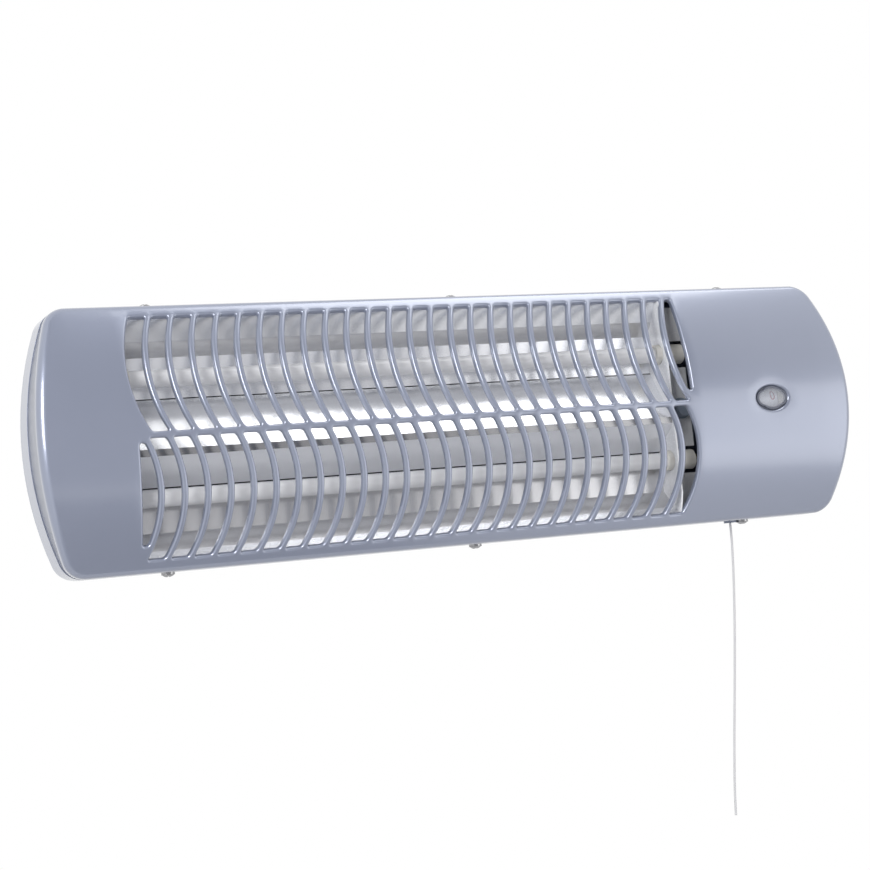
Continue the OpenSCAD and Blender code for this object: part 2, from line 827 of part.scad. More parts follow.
// the spring that draws the lever back up; drawn as its coil's own rings
module return_spring() {
    turns = 9;
    wire_d = 0.8;
    step = (spring_top - spring_foot - wire_d) / turns;
    color("#8a8d92") in_body() translate([cord_x, cord_y, spring_foot]) union() {
        for (k = [0:turns]) translate([0, 0, k * step])
            rotate_extrude($fn = fn_small) translate([spring_r - wire_d, 0])
                square([wire_d, wire_d]);
        for (a = [0, 180]) rotate([0, 0, a]) translate([spring_r - wire_d, -0.2, 0])
            cube([0.5, 0.4, spring_top - spring_foot]);
    }
}

stirrup_x = lever_t / 2 + 2.3;
stirrup_drop = 17;
clip_top = -50;
clip_h = 4;
clip_r = 3;

// the wire stirrup that hangs on the lever's eye and carries the cord's clip
module pull_link() {
    color("#b8bcc2") in_body() translate([cord_x, cord_y, 0]) {
        rod_x(-stirrup_x - pin_r, stirrup_x + pin_r, pin_r, 0, 0, fn_small);
        for (s = [-1, 1]) rod_z(-stirrup_drop, 0, pin_r, s * stirrup_x, 0, fn_small);
        rod_x(-stirrup_x - pin_r, stirrup_x + pin_r, pin_r, 0, -stirrup_drop, fn_small);
        rod_z(clip_top, -stirrup_drop, pin_r, 0, 0, fn_small);
    }
}

module cord_clip() {
    color("#e4e2da") in_body()
        rod_z(clip_top - clip_h, clip_top, clip_r, cord_x, cord_y);
}

cord_exit_z = -half_h - bush_out;

module inner_cord() {
    color("#e8e8e4") in_body()
        rod_z(cord_exit_z, clip_top - clip_h, cord_d / 2, cord_x, cord_y, fn_small);
}

// the cord's route below its bush, as steps from the exit: it hangs almost plumb, with the
// slight set that the photographed cord shows
cord_route = [
    [0, 0, 0], [0, 0, -4], [-0.1, 0.1, -10], [-0.5, 0.4, -20], [-1.1, 0.9, -32],
    [-2.0, 1.5, -45], [-3.2, 2.2, -60], [-4.6, 3.1, -76], [-6.1, 4.1, -92],
    [-7.7, 5.1, -108], [-9.2, 6.1, -123], [-10.6, 7.0, -137], [-11.8, 7.8, -150],
    [-12.8, 8.5, -162], [-13.5, 9.1, -172], [-13.9, 9.5, -180], [-14.1, 9.8, -186]];
cord_sides = 8;

// a tube swept along points whose rings stay level, for a cord that hangs
module hanging_tube(points, r, sides) {
    n = len(points);
    rings = [for (p = points, k = [0:sides - 1])
        p + r * [cos(360 * k / sides), sin(360 * k / sides), 0]];
    polyhedron(points = rings, faces = tube_faces(n, sides), convexity = 2);
}

module pull_cord() {
    color("#ecece8") in_body() translate([cord_x, cord_y, cord_exit_z])
        hanging_tube(cord_route, cord_d / 2, cord_sides);
}

// the bush in the rear shell's underside that guides the cord
module cord_bush() {
    neck_r = bush_d / 2 - 1.1;
    top = -half_h + sheet;
    color("#8d93a4") in_body() difference() {
        union() {
            rod_z(cord_exit_z, -half_h, bush_d / 2, cord_x, cord_y);
            rod_z(-half_h - 0.2, top + 3, neck_r, cord_x, cord_y);
            rod_z(top, top + 3, neck_r + 0.8, cord_x, cord_y);
        }
        rod_z(cord_exit_z - eps, top + 4, cord_d / 2 + 0.4, cord_x, cord_y, fn_small);
    }
}

module window_bezel() {
    color("#40444f") in_body() translate([window_x, 0, 0]) difference() {
        union() {
            slab_y(0.4 - face_bulge, sheet - face_bulge + 1.2)
                oval(window_a + bezel_w, window_b + bezel_w);
            slab_y(sheet - face_bulge + 0.8, sheet - face_bulge + 1.6)
                oval(window_a + bezel_w + 2.4, window_b + bezel_w + 2.4);
        }
        slab_y(-face_bulge - 1, sheet - face_bulge + 3) oval(window_a, window_b);
    }
}

module window_lens() {
    color("#c9d2d8", 0.5) in_body() translate([window_x, 0, 0])
        slab_y(0.1 - face_bulge, sheet - face_bulge + 0.5)
            oval(window_a - 0.05, window_b - 0.05);
}

// ---- fasteners -------------------------------------------------------------------------

module cover_screws_top() {
    color("#dfe0e2") in_body() for (x = screw_places)
        translate([x, screw_y, half_h])
            pan_screw(screw_head_d, screw_head_h, screw_d, screw_l);
}

module cover_screws_bottom() {
    color("#dfe0e2") in_body() for (x = screw_places)
        translate([x, screw_y, -half_h]) rotate([180, 0, 0])
            pan_screw(screw_head_d, screw_head_h, screw_d, screw_l);
}

inner_screw_d = 3.5;
inner_screw_head_d = 6.8;
inner_screw_head_h = 2.2;
inner_screw_l = 5;
frame_screw_places = [[frame_left + 4.5, -9.5], [drum_left + 6, 9.5]];
bracket_screw_places = [for (s = [-1, 1], t = [-1, 1])
    [s > 0 ? element_right + bracket_screw_x : element_left - bracket_screw_x,
        t * bracket_screw_z]];
inner_screw_places = concat(bracket_screw_places, frame_screw_places);

// screws from behind that hold the end brackets and the switch frame
module inner_screws() {
    color("#c8c9cc") in_body() for (p = inner_screw_places)
        translate([p[0], body_back, p[1]]) rotate([-90, 0, 0])
            pan_screw(inner_screw_head_d, inner_screw_head_h, inner_screw_d, inner_screw_l);
}

earth_in = 24;
earth_x = earth_in - half_l;
earth_z = -40;

// the earth screw inside the rear shell, with its ring terminal
module earth_screw() {
    color("#c2a64e") in_body() {
        rod_y(inner_back - 1, inner_back, 4.5, earth_x, earth_z);
        translate([earth_x, inner_back - 1, earth_z]) rotate([90, 0, 0])
            pan_screw(inner_screw_head_d, inner_screw_head_h, inner_screw_d - 1, 0.5);
    }
}

// ---- the tilting bracket ---------------------------------------------------------------

pivot_r = pivot_d / 2;
wall_ear_in = ear_x + washer_t;
wall_ear_out = wall_ear_in + ear_t;
rivet_x = ear_x - 11;
rivet_z = 12;
rivet_d = 4;
ear_foot_z = 18;

// the heater's ear, drawn for the right-hand side in the row's own frame
ear_foot_w = 18;

module tilt_ear() {
    difference() {
        union() {
            run_x(ear_x - ear_t, ear_x) union() {
                polygon([[-stand_off, -ear_foot_z], [-stand_off, ear_foot_z],
                    [-pivot_y, ear_r], [-pivot_y, -ear_r]]);
                translate([-pivot_y, 0]) circle(ear_r, $fn = fn_round);
            }
            block([ear_x - ear_foot_w, -stand_off, -ear_foot_z],
                [ear_x, -stand_off + ear_t, ear_foot_z]);
        }
        rod_x(ear_x - ear_t - eps, ear_x + eps, pivot_r + run_gap, -pivot_y, 0);
        for (t = [-1, 1])
            rod_y(-stand_off - eps, -stand_off + ear_t + eps, rivet_d / 2 + run_gap,
                rivet_x, t * rivet_z);
    }
}

module tilt_ear_right() {
    color("#8a90a0") tilt_ear();
}

module tilt_ear_left() {
    color("#8a90a0") mirror([1, 0, 0]) tilt_ear();
}

module ear_rivets() {
    color("#b0b3b8") for (s = [-1, 1], t = [-1, 1]) {
        x = s * rivet_x;
        z = t * rivet_z;
        rod_y(-stand_off - sheet - 1, -stand_off + ear_t + 0.5, rivet_d / 2, x, z, fn_small);
        rod_y(-stand_off + ear_t, -stand_off + ear_t + 1, rivet_d * 0.8, x, z, fn_small);
        rod_y(-stand_off - sheet - 1, -stand_off - sheet, rivet_d * 0.8, x, z, fn_small);
    }
}

module friction_washers() {
    color("#3c3c3e") for (s = [0, 1]) mirror([s, 0, 0]) difference() {
        rod_x(ear_x, ear_x + washer_t - 0.3, ear_r - 1, -pivot_y, 0);
        rod_x(ear_x - eps, ear_x + washer_t + eps, pivot_r + run_gap, -pivot_y, 0);
    }
}

bolt_end = wall_ear_out + knob_h - 3;

module pivot_bolts() {
    color("#c8c9cc") for (s = [0, 1]) mirror([s, 0, 0]) {
        rod_x(ear_x - ear_t - 3, ear_x - ear_t, pivot_r + 2.2, -pivot_y, 0);
        rod_x(ear_x - ear_t - 0.1, bolt_end, pivot_r, -pivot_y, 0);
    }
}

// a lobed knob that clamps the wall bracket's ear, drawn for the right-hand side
module clamp_knob() {
    lobe_n = 6;
    lobe_r = 3.6;
    core_r = knob_r - 3;
    x0 = wall_ear_out + 0.3;
    difference() {
        union() {
            rod_x(x0, x0 + 3, 7, -pivot_y, 0);
            rod_x(x0 + 2.5, x0 + knob_h, core_r, -pivot_y, 0);
            for (k = [0:lobe_n - 1]) rotate_about(k * 360 / lobe_n)
                rod_x(x0 + 3, x0 + knob_h - 1, lobe_r, -pivot_y, knob_r - lobe_r, fn_small);
        }
        rod_x(x0 - eps, bolt_end + 0.5, pivot_r + run_gap, -pivot_y, 0);
    }
}

// turns a piece about the pivot's axis
module rotate_about(a) {
    translate([0, -pivot_y, 0]) rotate([a, 0, 0]) translate([0, pivot_y, 0]) children();
}

module clamp_knob_right() {
    color("#2e3036") clamp_knob();
}

module clamp_knob_left() {
    color("#2e3036") mirror([1, 0, 0]) clamp_knob();
}

// the plate on the wall, with an ear at each end that the heater pivots on
module wall_bracket() {
    ear_foot = plate_h / 2 - 4;
    color("#7e8494") difference() {
        union() {
            block([-wall_ear_out, -ear_t, -plate_h / 2], [wall_ear_out, 0, plate_h / 2]);
            for (s = [0, 1]) mirror([s, 0, 0]) run_x(wall_ear_in, wall_ear_out) union() {
                polygon([[-ear_t, -ear_foot], [-ear_t, ear_foot], [-pivot_y, ear_r],
                    [-pivot_y, -ear_r]]);
                translate([-pivot_y, 0]) circle(ear_r, $fn = fn_round);
            }
        }
        for (s = [0, 1]) mirror([s, 0, 0])
            rod_x(wall_ear_in - eps, wall_ear_out + eps, pivot_r + run_gap, -pivot_y, 0);
        for (s = [-1, 1], t = [-1, 1])
            rod_y(-ear_t - eps, eps, wall_hole_d / 2, s * hole_span_x / 2, t * hole_span_z / 2);
    }
}

// ---- the part --------------------------------------------------------------------------

wall_bracket();
front_cover();
rear_shell();
reflector();
end_bracket_left();
end_bracket_right();
quartz_tube_upper();
quartz_tube_lower();
coil_upper();
coil_lower();
ceramic_caps();
tube_terminals();
link_strap();
thermal_cutout();
heater_wires();
supply_wires();
terminal_block();
mains_gland();
switch_frame();
switch_body();
window_bezel();
window_lens();
cord_bush();
cover_screws_top();
cover_screws_bottom();
inner_screws();
earth_screw();
tilt_ear_left();
tilt_ear_right();
ear_rivets();
friction_washers();
pivot_bolts();
clamp_knob_left();
clamp_knob_right();
indicator_drum();
ratchet_wheel();
switch_shaft();
pull_lever();
pawl();
return_spring();
pull_link();
cord_clip();
inner_cord();
pull_cord();
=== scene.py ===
# %% [markdown]
# # A wall heater with two quartz bars
# A bar heater hangs on a wall bracket and tilts on two clamp knobs. This notebook dresses its
# construction model, which already gives every solid its place, its size and its joints. Here
# it gets what a photograph shows as well: rolled edges, coil wire, a braided cord and real
# finishes. Each step starts with a short lesson.
#
# ## Loading the frame
# Pieces could be placed by hand, but they would soon drift from the construction model. It is
# loaded at once, before anything is added.

# %% Load the construction model
import math
import bmesh
import bpy
import numpy as np
from mathutils import Matrix, Vector
from mathutils.geometry import delaunay_2d_cdt


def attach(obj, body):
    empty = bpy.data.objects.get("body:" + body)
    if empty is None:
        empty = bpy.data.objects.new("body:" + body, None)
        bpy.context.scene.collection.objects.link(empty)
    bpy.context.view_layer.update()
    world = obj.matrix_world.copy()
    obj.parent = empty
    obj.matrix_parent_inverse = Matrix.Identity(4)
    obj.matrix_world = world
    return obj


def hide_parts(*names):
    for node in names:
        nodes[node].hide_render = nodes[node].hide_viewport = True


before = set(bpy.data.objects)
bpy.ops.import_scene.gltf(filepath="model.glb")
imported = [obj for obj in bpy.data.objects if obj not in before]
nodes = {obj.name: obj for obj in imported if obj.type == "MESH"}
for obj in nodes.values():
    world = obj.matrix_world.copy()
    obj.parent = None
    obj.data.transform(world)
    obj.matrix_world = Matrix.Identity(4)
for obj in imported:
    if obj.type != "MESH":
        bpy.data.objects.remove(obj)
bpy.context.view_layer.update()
scene = bpy.context.scene
MM = 0.001
RIM = -77.0  # Y of the cover's rim in mm, from which the heater's own depths are counted
print("nodes:", len(nodes))

# %% [markdown]
# ## The camera
# A camera can be matched to a photograph by eye or by numbers. Numbers are surer. The body's
# corners, the screws and the bars' ends were found in the photograph, and the camera that sees
# them all in their places was worked out from them. The rows of its rotation are the picture's
# right, down and forward directions. Blender's camera looks along its own -Z with +Y up, so
# two rows change sign.

# %% Set the camera
PHOTO_WIDE, FOCAL = 870, 1861.11  # in pixels
SENSOR = 36  # in mm, as are the next values
FITTED_H, BODY_H = 140, 150  # the camera was fitted to a body of the first height
CAMERA_OFFSET = (20.599, -9.206, 1044.064)
CAMERA_TURN = (-0.1015, -0.4228, -0.0820)  # a rotation vector, in radians
CLIP_END = 50  # in metres
LEVEL = np.array([[1, 0, 0], [0, 0, -1], [0, 1, 0]])  # a camera that looks along +Y


def rotation(v):
    """The rotation matrix of a rotation vector."""
    angle = float(np.linalg.norm(v))
    x, y, z = np.array(v) / angle
    k = np.array([[0, -z, y], [z, 0, -x], [-y, x, 0]])
    return np.eye(3) + math.sin(angle) * k + (1 - math.cos(angle)) * k @ k


seen = rotation(CAMERA_TURN) @ LEVEL
offset = np.array(CAMERA_OFFSET) * BODY_H / FITTED_H
place = -seen.T @ offset + np.array([0, RIM, 0])
pose = np.eye(4)
pose[:3, :3] = np.column_stack([seen[0], -seen[1], -seen[2]])
pose[:3, 3] = place * MM

camera_data = bpy.data.cameras.new("camera")
camera_data.sensor_width = SENSOR
camera_data.lens = FOCAL / PHOTO_WIDE * SENSOR
camera_data.clip_end = CLIP_END
camera = bpy.data.objects.new("camera", camera_data)
scene.collection.objects.link(camera)
camera.matrix_world = Matrix(pose.tolist())
scene.camera = camera
scene.view_settings.view_transform = "Standard"
print("camera at", [round(float(v), 1) for v in place], "mm")

# %% [markdown]
# ## Helpers for meshes
# Blender's own primitives would need moving and scaling. Here points are worked out in
# millimetres and turned to metres once, when the mesh is made. Every piece then sits at the
# origin, unturned and unscaled, and its place is in its mesh.

# %% Mesh helpers
DOUBLES = 1e-7  # in metres, how close two points have to be to be merged


def smooth_but_sharp(mesh, angle):
    """Shades a mesh smooth, with sharp edges where it bends by more than angle degrees."""
    mesh.polygons.foreach_set("use_smooth", [True] * len(mesh.polygons))
    mesh.set_sharp_from_angle(angle=math.radians(angle))


def add_mesh(name, points, faces, smooth=True, sharp=40):
    """A new mesh object from points in millimetres."""
    mesh = bpy.data.meshes.new(name)
    mesh.from_pydata((np.asarray(points, float) * MM).tolist(), [],
                     [[int(i) for i in f] for f in faces])
    mesh.validate()
    if smooth:
        smooth_but_sharp(mesh, sharp)
    obj = bpy.data.objects.new(name, mesh)
    scene.collection.objects.link(obj)
    return obj


def outward(obj):
    """Turns the faces of a closed mesh outwards, after its doubles are merged."""
    bm = bmesh.new()
    bm.from_mesh(obj.data)
    bmesh.ops.remove_doubles(bm, verts=bm.verts, dist=DOUBLES)
    bmesh.ops.recalc_face_normals(bm, faces=bm.faces)
    bm.to_mesh(obj.data)
    bm.free()


def baked(obj):
    """obj as a plain mesh, its modifiers worked in."""
    graph = bpy.context.evaluated_depsgraph_get()
    mesh = bpy.data.meshes.new_from_object(obj.evaluated_get(graph))
    obj.modifiers.clear()
    obj.data = mesh
    return obj


print("mesh helpers ready")

# %% Ring helpers
def ring_faces(rings, count):
    """Quads between rings of count points each, numbered one ring after another."""
    return [(a * count + k, a * count + (k + 1) % count,
             (a + 1) * count + (k + 1) % count, (a + 1) * count + k)
            for a in range(rings - 1) for k in range(count)]


def wheel_faces(rings, count):
    """The same quads, with the last ring joined to the first."""
    faces = []
    for k in range(rings):
        here, there = k * count, (k + 1) % rings * count
        for i in range(count):
            j = (i + 1) % count
            faces.append((here + i, here + j, there + j, there + i))
    return faces


def turned_along_x(name, profile, centre, steps=64):
    """A closed profile of (radius, x) turned about the line along X through centre."""
    points = []
    for k in range(steps):
        c, s = math.cos(2 * math.pi * k / steps), math.sin(2 * math.pi * k / steps)
        points += [(x + centre[0], r * c + centre[1], r * s + centre[2]) for r, x in profile]
    obj = add_mesh(name, points, wheel_faces(steps, len(profile)))
    outward(obj)
    return obj


print("ring helpers ready")

# %% [markdown]
# ## The pull cord
# The real cord is a thin braided line that works the switch. It leaves its bush below the
# switch and hangs almost plumb, with the slight set that the photographed cord has. The
# points are listed, then spaced evenly and smoothed.

# %% The cord's path
CORD_R, CORD_DROP = 0.75, 186
CORD_TOP = np.array([184.0, RIM + 15.5, -76.2])
CORD_STEPS = np.array([
    [0, 0, 0], [0, 0, -4], [-0.1, 0.1, -10], [-0.5, 0.4, -20], [-1.1, 0.9, -32],
    [-2.0, 1.5, -45], [-3.2, 2.2, -60], [-4.6, 3.1, -76], [-6.1, 4.1, -92],
    [-7.7, 5.1, -108], [-9.2, 6.1, -123], [-10.6, 7.0, -137], [-11.8, 7.8, -150],
    [-12.8, 8.5, -162], [-13.5, 9.1, -172], [-13.9, 9.5, -180], [-14.1, 9.8, -186]])


def cord_path(samples=94, rounds=6):
    """The cord's middle line: evenly spaced in height, smoothed sideways."""
    z = np.linspace(0, -CORD_DROP, samples)
    x, y = (np.interp(-z, -CORD_STEPS[:, 2], CORD_STEPS[:, i]) for i in (0, 1))
    path = np.column_stack([x, y, z]) + CORD_TOP
    for _ in range(rounds):
        path[1:-1, :2] = (path[:-2, :2] + 2 * path[1:-1, :2] + path[2:, :2]) / 4
    return path


route = cord_path()

# %% The pull cord
def cord_tube(path, sides=16):
    """Points and faces of a closed tube round the path."""
    turns = np.arange(sides) * 2 * math.pi / sides
    points = [p + CORD_R * np.array([math.cos(a), math.sin(a), 0]) for p in path for a in turns]
    last = (len(path) - 1) * sides
    faces = [tuple(reversed(f)) for f in ring_faces(len(path), sides)]
    faces += [tuple(range(sides)), tuple(reversed(range(last, last + sides)))]
    return points, faces


cord = add_mesh("cord_outside", *cord_tube(route), sharp=60)
outward(cord)
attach(cord, "cord")
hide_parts("pull_cord")
print("cord faces:", len(cord.data.polygons))

# %% [markdown]
# ## Finishes
# No real surface has one flat colour. A picture of the surface could be wrapped round each
# piece, but it would need unwrapping and would blur up close. Every finish here is worked out
# instead: it mixes two close shades with soft noise, varies its gloss with finer noise, and
# roughens itself with the same. Stretching the noise along the part gives brushed metal its
# direction. All patterns sit on the piece's own coordinates, so they stay where they are when
# it moves.

# %% A finish from noise
NOISE_LOW, NOISE_HIGH = 0.3, 0.7  # nearly all of the fine noise lies between these


def wired(tree, kind, links=(), **values):
    """A shader node with its inputs set or linked."""
    node = tree.nodes.new(kind)
    for key, value in values.items():
        setattr(node, key, value)
    for socket, value in links:
        if hasattr(value, "is_output"):
            tree.links.new(value, node.inputs[socket])
        else:
            node.inputs[socket].default_value = value
    return node


def finish_of(name, dark, light, rough, metal=0.0, scale=40.0, stretch=(1, 1, 1),
              grain=900.0, bump=0.05, depth=0.0001, wave=None, **fixed):
    """A principled finish with noise in its colour, its gloss and its grain.

    dark and light are its two shades, rough is the range of its roughness, and scale and grain
    are the scales of the soft and the fine noise. wave is the scale and height of a slow bump.
    """
    made = bpy.data.materials.new(name)
    made.use_nodes = True
    tree = made.node_tree
    shader = tree.nodes["Principled BSDF"]
    place = wired(tree, "ShaderNodeTexCoord")
    lay = wired(tree, "ShaderNodeMapping", [("Vector", place.outputs["Object"]),
                                            ("Scale", stretch)])
    soft = wired(tree, "ShaderNodeTexNoise", [("Vector", lay.outputs[0]), ("Scale", scale),
                                              ("Detail", 3.0), ("Roughness", 0.55)])
    fine = wired(tree, "ShaderNodeTexNoise", [("Vector", lay.outputs[0]), ("Scale", grain),
                                              ("Detail", 2.0)])
    tint = wired(tree, "ShaderNodeMix", [("Factor", soft.outputs[0])], data_type="RGBA")
    tint.inputs["A"].default_value = (*dark, 1)
    tint.inputs["B"].default_value = (*light, 1)
    tree.links.new(tint.outputs["Result"], shader.inputs["Base Color"])
    sheen = wired(tree, "ShaderNodeMapRange", [
        ("Value", fine.outputs[0]), ("From Min", NOISE_LOW), ("From Max", NOISE_HIGH),
        ("To Min", rough[0]), ("To Max", rough[1])])
    tree.links.new(sheen.outputs[0], shader.inputs["Roughness"])
    relief = wired(tree, "ShaderNodeBump", [("Strength", bump), ("Distance", depth),
                                            ("Height", fine.outputs[0])])
    if wave:
        slow = wired(tree, "ShaderNodeTexNoise", [("Vector", place.outputs["Object"]),
                                                  ("Scale", wave[0]), ("Detail", 1.0)])
        swell = wired(tree, "ShaderNodeBump", [("Strength", 1.0), ("Distance", wave[1]),
                                               ("Height", slow.outputs[0])])
        tree.links.new(swell.outputs[0], relief.inputs["Normal"])
    tree.links.new(relief.outputs[0], shader.inputs["Normal"])
    shader.inputs["Metallic"].default_value = metal
    for key, value in fixed.items():
        shader.inputs[key.replace("_", " ")].default_value = value
    return made


def dress(obj, finish):
    """Gives every slot of an object the same finish."""
    if not obj.material_slots:
        obj.data.materials.append(finish)
    for part in obj.material_slots:
        part.material = finish


print("finish helpers ready")

# %% [markdown]
# ## The body's enamel
# The body is stove-enamelled in a silver-blue with fine metal flake under a thin clear layer.
# A metal alone would be too dark where it mirrors nothing, and a plain paint has no glint. So
# the enamel is part metal, and a coat gives it the clear layer's soft highlights.

# %% Enamels
paint = finish_of("silver_blue_enamel", (0.250, 0.280, 0.372), (0.275, 0.305, 0.402),
                  (0.31, 0.35), metal=0.45, scale=14, grain=3200, bump=0.02, depth=0.00003,
                  Coat_Weight=1.0, Coat_Roughness=0.17, Coat_IOR=1.8)
bracket_paint = finish_of("bracket_enamel", (0.24, 0.28, 0.37), (0.27, 0.31, 0.40),
                          (0.34, 0.44), metal=0.4, scale=18, grain=2200, bump=0.12,
                          depth=0.00005)
print("enamels:", paint.name, bracket_paint.name)

# %% [markdown]
# ## Bright metals and quartz
# The reflector is bright rolled sheet with the slight waves that thin sheet always has. They
# could be modelled, but they are far thinner than the sheet, so a slow bump makes them. The
# tubes are milky quartz, which is mostly scattered light with a little that passes through.
# The coil behind it hardly shows.

# %% Metals, quartz and ceramic
bright_sheet = finish_of("bright_rolled_sheet", (0.90, 0.91, 0.94), (0.95, 0.96, 0.985),
                         (0.20, 0.23), metal=0.80, scale=30, stretch=(4, 0.3, 0.3), grain=600,
                         bump=0.02, depth=0.00003, wave=(7, 0.00015))
mirror_sheet = finish_of("polished_end_plate", (0.84, 0.85, 0.88), (0.90, 0.91, 0.93),
                         (0.24, 0.28), metal=0.1, scale=35, grain=1200, bump=0.03,
                         depth=0.00003, wave=(25, 0.0008))
quartz = finish_of("milky_quartz", (0.86, 0.865, 0.89), (0.94, 0.94, 0.95), (0.20, 0.26),
                   scale=60, stretch=(0.3, 1, 1), grain=500, bump=0.03, depth=0.00003,
                   Transmission_Weight=0.10, IOR=1.46)
coil_wire = finish_of("resistance_wire", (0.36, 0.35, 0.34), (0.52, 0.50, 0.49), (0.35, 0.5),
                      metal=0.8, scale=300, grain=3000)
ceramic = finish_of("steatite", (0.74, 0.72, 0.66), (0.86, 0.84, 0.79), (0.45, 0.6),
                    scale=120, grain=1800, bump=0.15)
turned_brass = finish_of("turned_brass", (0.60, 0.44, 0.20), (0.76, 0.58, 0.29), (0.2, 0.34),
                         metal=1.0, scale=200, grain=1800)
zinc = finish_of("bright_zinc", (0.50, 0.51, 0.53), (0.68, 0.69, 0.71), (0.22, 0.36),
                 metal=1.0, scale=150, grain=1600)
screw_bright = finish_of("bright_nickel", (0.30, 0.30, 0.31), (0.50, 0.50, 0.51), (0.14, 0.24),
                         metal=1.0, scale=400, grain=2500)
spring_wire = finish_of("oiled_spring_wire", (0.24, 0.25, 0.27), (0.42, 0.43, 0.45),
                        (0.28, 0.4), metal=1.0, scale=250, grain=2000)
print("metals and quartz made")

# %% [markdown]
# ## Mouldings
# The knobs, the bush, the grommet and the switch are plastic and rubber. One finish for all
# would look like toy parts, so each has its own tone, gloss and grain. The window is clear, and
# a low alpha lets the drum show through it.

# %% Plastics and rubber
dark_plastic = finish_of("slate_moulding", (0.105, 0.115, 0.150), (0.140, 0.150, 0.190),
                         (0.38, 0.5), scale=120, grain=2400, bump=0.2)
cutout_plastic = finish_of("blue_grey_moulding", (0.26, 0.31, 0.39), (0.32, 0.37, 0.45),
                           (0.35, 0.45), scale=120, grain=2400, bump=0.15)
black_plastic = finish_of("black_moulding", (0.018, 0.018, 0.020), (0.035, 0.035, 0.038),
                          (0.42, 0.58), scale=90, grain=2600, bump=0.3)
rubber = finish_of("black_rubber", (0.016, 0.016, 0.017), (0.030, 0.030, 0.032), (0.6, 0.75),
                   scale=100, grain=2000, bump=0.2)
pale_plastic = finish_of("off_white_moulding", (0.66, 0.65, 0.58), (0.75, 0.74, 0.68),
                         (0.35, 0.48), scale=70, grain=1800, bump=0.12)
drum_white = finish_of("white_drum", (0.77, 0.80, 0.86), (0.84, 0.87, 0.92), (0.25, 0.35),
                       scale=90, grain=1500, bump=0.05)
figure_red = finish_of("red_figure", (0.26, 0.012, 0.03), (0.34, 0.025, 0.04), (0.35, 0.45),
                       scale=600, grain=3000, bump=0.1)
bush_plastic = finish_of("bush_moulding", (0.27, 0.30, 0.39), (0.32, 0.36, 0.45), (0.3, 0.42),
                         scale=120, grain=2200, bump=0.12)
clear_plastic = finish_of("clear_window", (0.72, 0.75, 0.84), (0.78, 0.81, 0.90),
                          (0.06, 0.11), scale=150, grain=900, bump=0.02, Alpha=0.24)
print("finishes so far:", len(bpy.data.materials))

# %% [markdown]
# ## The reflector's strips
# The real reflector has dark joint lines along its ridge. Three strips are also given a painted
# shade: their colour is darker where the polished sheet looks dimmer for the light it mirrors.
# They could be pieces of their own, but nothing there has a thickness that shows. The finish
# changes with the height instead: a mask is 1 between two heights and 0 elsewhere, and it
# mixes in another tone or another gloss.

# %% Strips along the reflector
BLUISH = 1.02  # blue against the other two, in a strip's tone
JOINTS = [(22.95, 23.65, 0.03), (-27.7, -27.0, 0.03)]  # low, high and tone
# painted shade: three strips of the reflector darkened where the polished sheet mirrors dimmer
# light
PAINTED_SHADE_STRIPS = [(-10.8, -6.9, 0.40), (-63.0, -38.0, 0.68), (47.0, 55.6, 0.68)]
SATIN = (-27.7, -10.8, 0.5)  # low, high and roughness


def height_mask(tree, low, high):
    """1 between two heights along the piece's own Z, and 0 elsewhere."""
    place = wired(tree, "ShaderNodeTexCoord")
    split = wired(tree, "ShaderNodeSeparateXYZ", [(0, place.outputs["Object"])])
    return wired(tree, "ShaderNodeMath",
                 [(0, split.outputs["Z"]), (1, (low + high) / 2 * MM),
                  (2, (high - low) / 2 * MM)], operation="COMPARE").outputs[0]


def toned_strip(made, low, high, tone):
    """Gives a finish another tone between two heights."""
    tree = made.node_tree
    colour = tree.nodes["Principled BSDF"].inputs["Base Color"]
    shade = wired(tree, "ShaderNodeMix", [("Factor", height_mask(tree, low, high))],
                  data_type="RGBA")
    tree.links.new(colour.links[0].from_socket, shade.inputs["A"])
    shade.inputs["B"].default_value = (tone, tone, tone * BLUISH, 1)
    tree.links.new(shade.outputs["Result"], colour)


def satin_strip(made, low, high, rough):
    """Gives a finish another roughness between two heights."""
    tree = made.node_tree
    gloss = tree.nodes["Principled BSDF"].inputs["Roughness"]
    mix = wired(tree, "ShaderNodeMix", [("Factor", height_mask(tree, low, high))])
    tree.links.new(gloss.links[0].from_socket, mix.inputs["A"])
    mix.inputs["B"].default_value = rough
    tree.links.new(mix.outputs["Result"], gloss)


for strip in JOINTS + PAINTED_SHADE_STRIPS:
    toned_strip(bright_sheet, *strip)
satin_strip(bright_sheet, *SATIN)
print("strips:", len(JOINTS + PAINTED_SHADE_STRIPS) + 1)

# %% [markdown]
# ## Braid
# The cord and the wires' sleeves are braided. Threads could be modelled one by one, but they
# are a tenth of a millimetre thick. Two sets of slanting stripes cross on the surface instead,
# and the bump and the shade both follow them.

# %% Braided finishes
WAVE_STRIPE = 0.314  # in metres, how far apart the stripes of a wave texture of scale 1 are
SLANT_X, SLANT_Y = 0.5, 0.6  # how far each set of stripes is turned, in radians
THREAD_BUMP, THREAD_DEPTH, THREAD_ROUGH = 0.6, 0.0002, 0.75


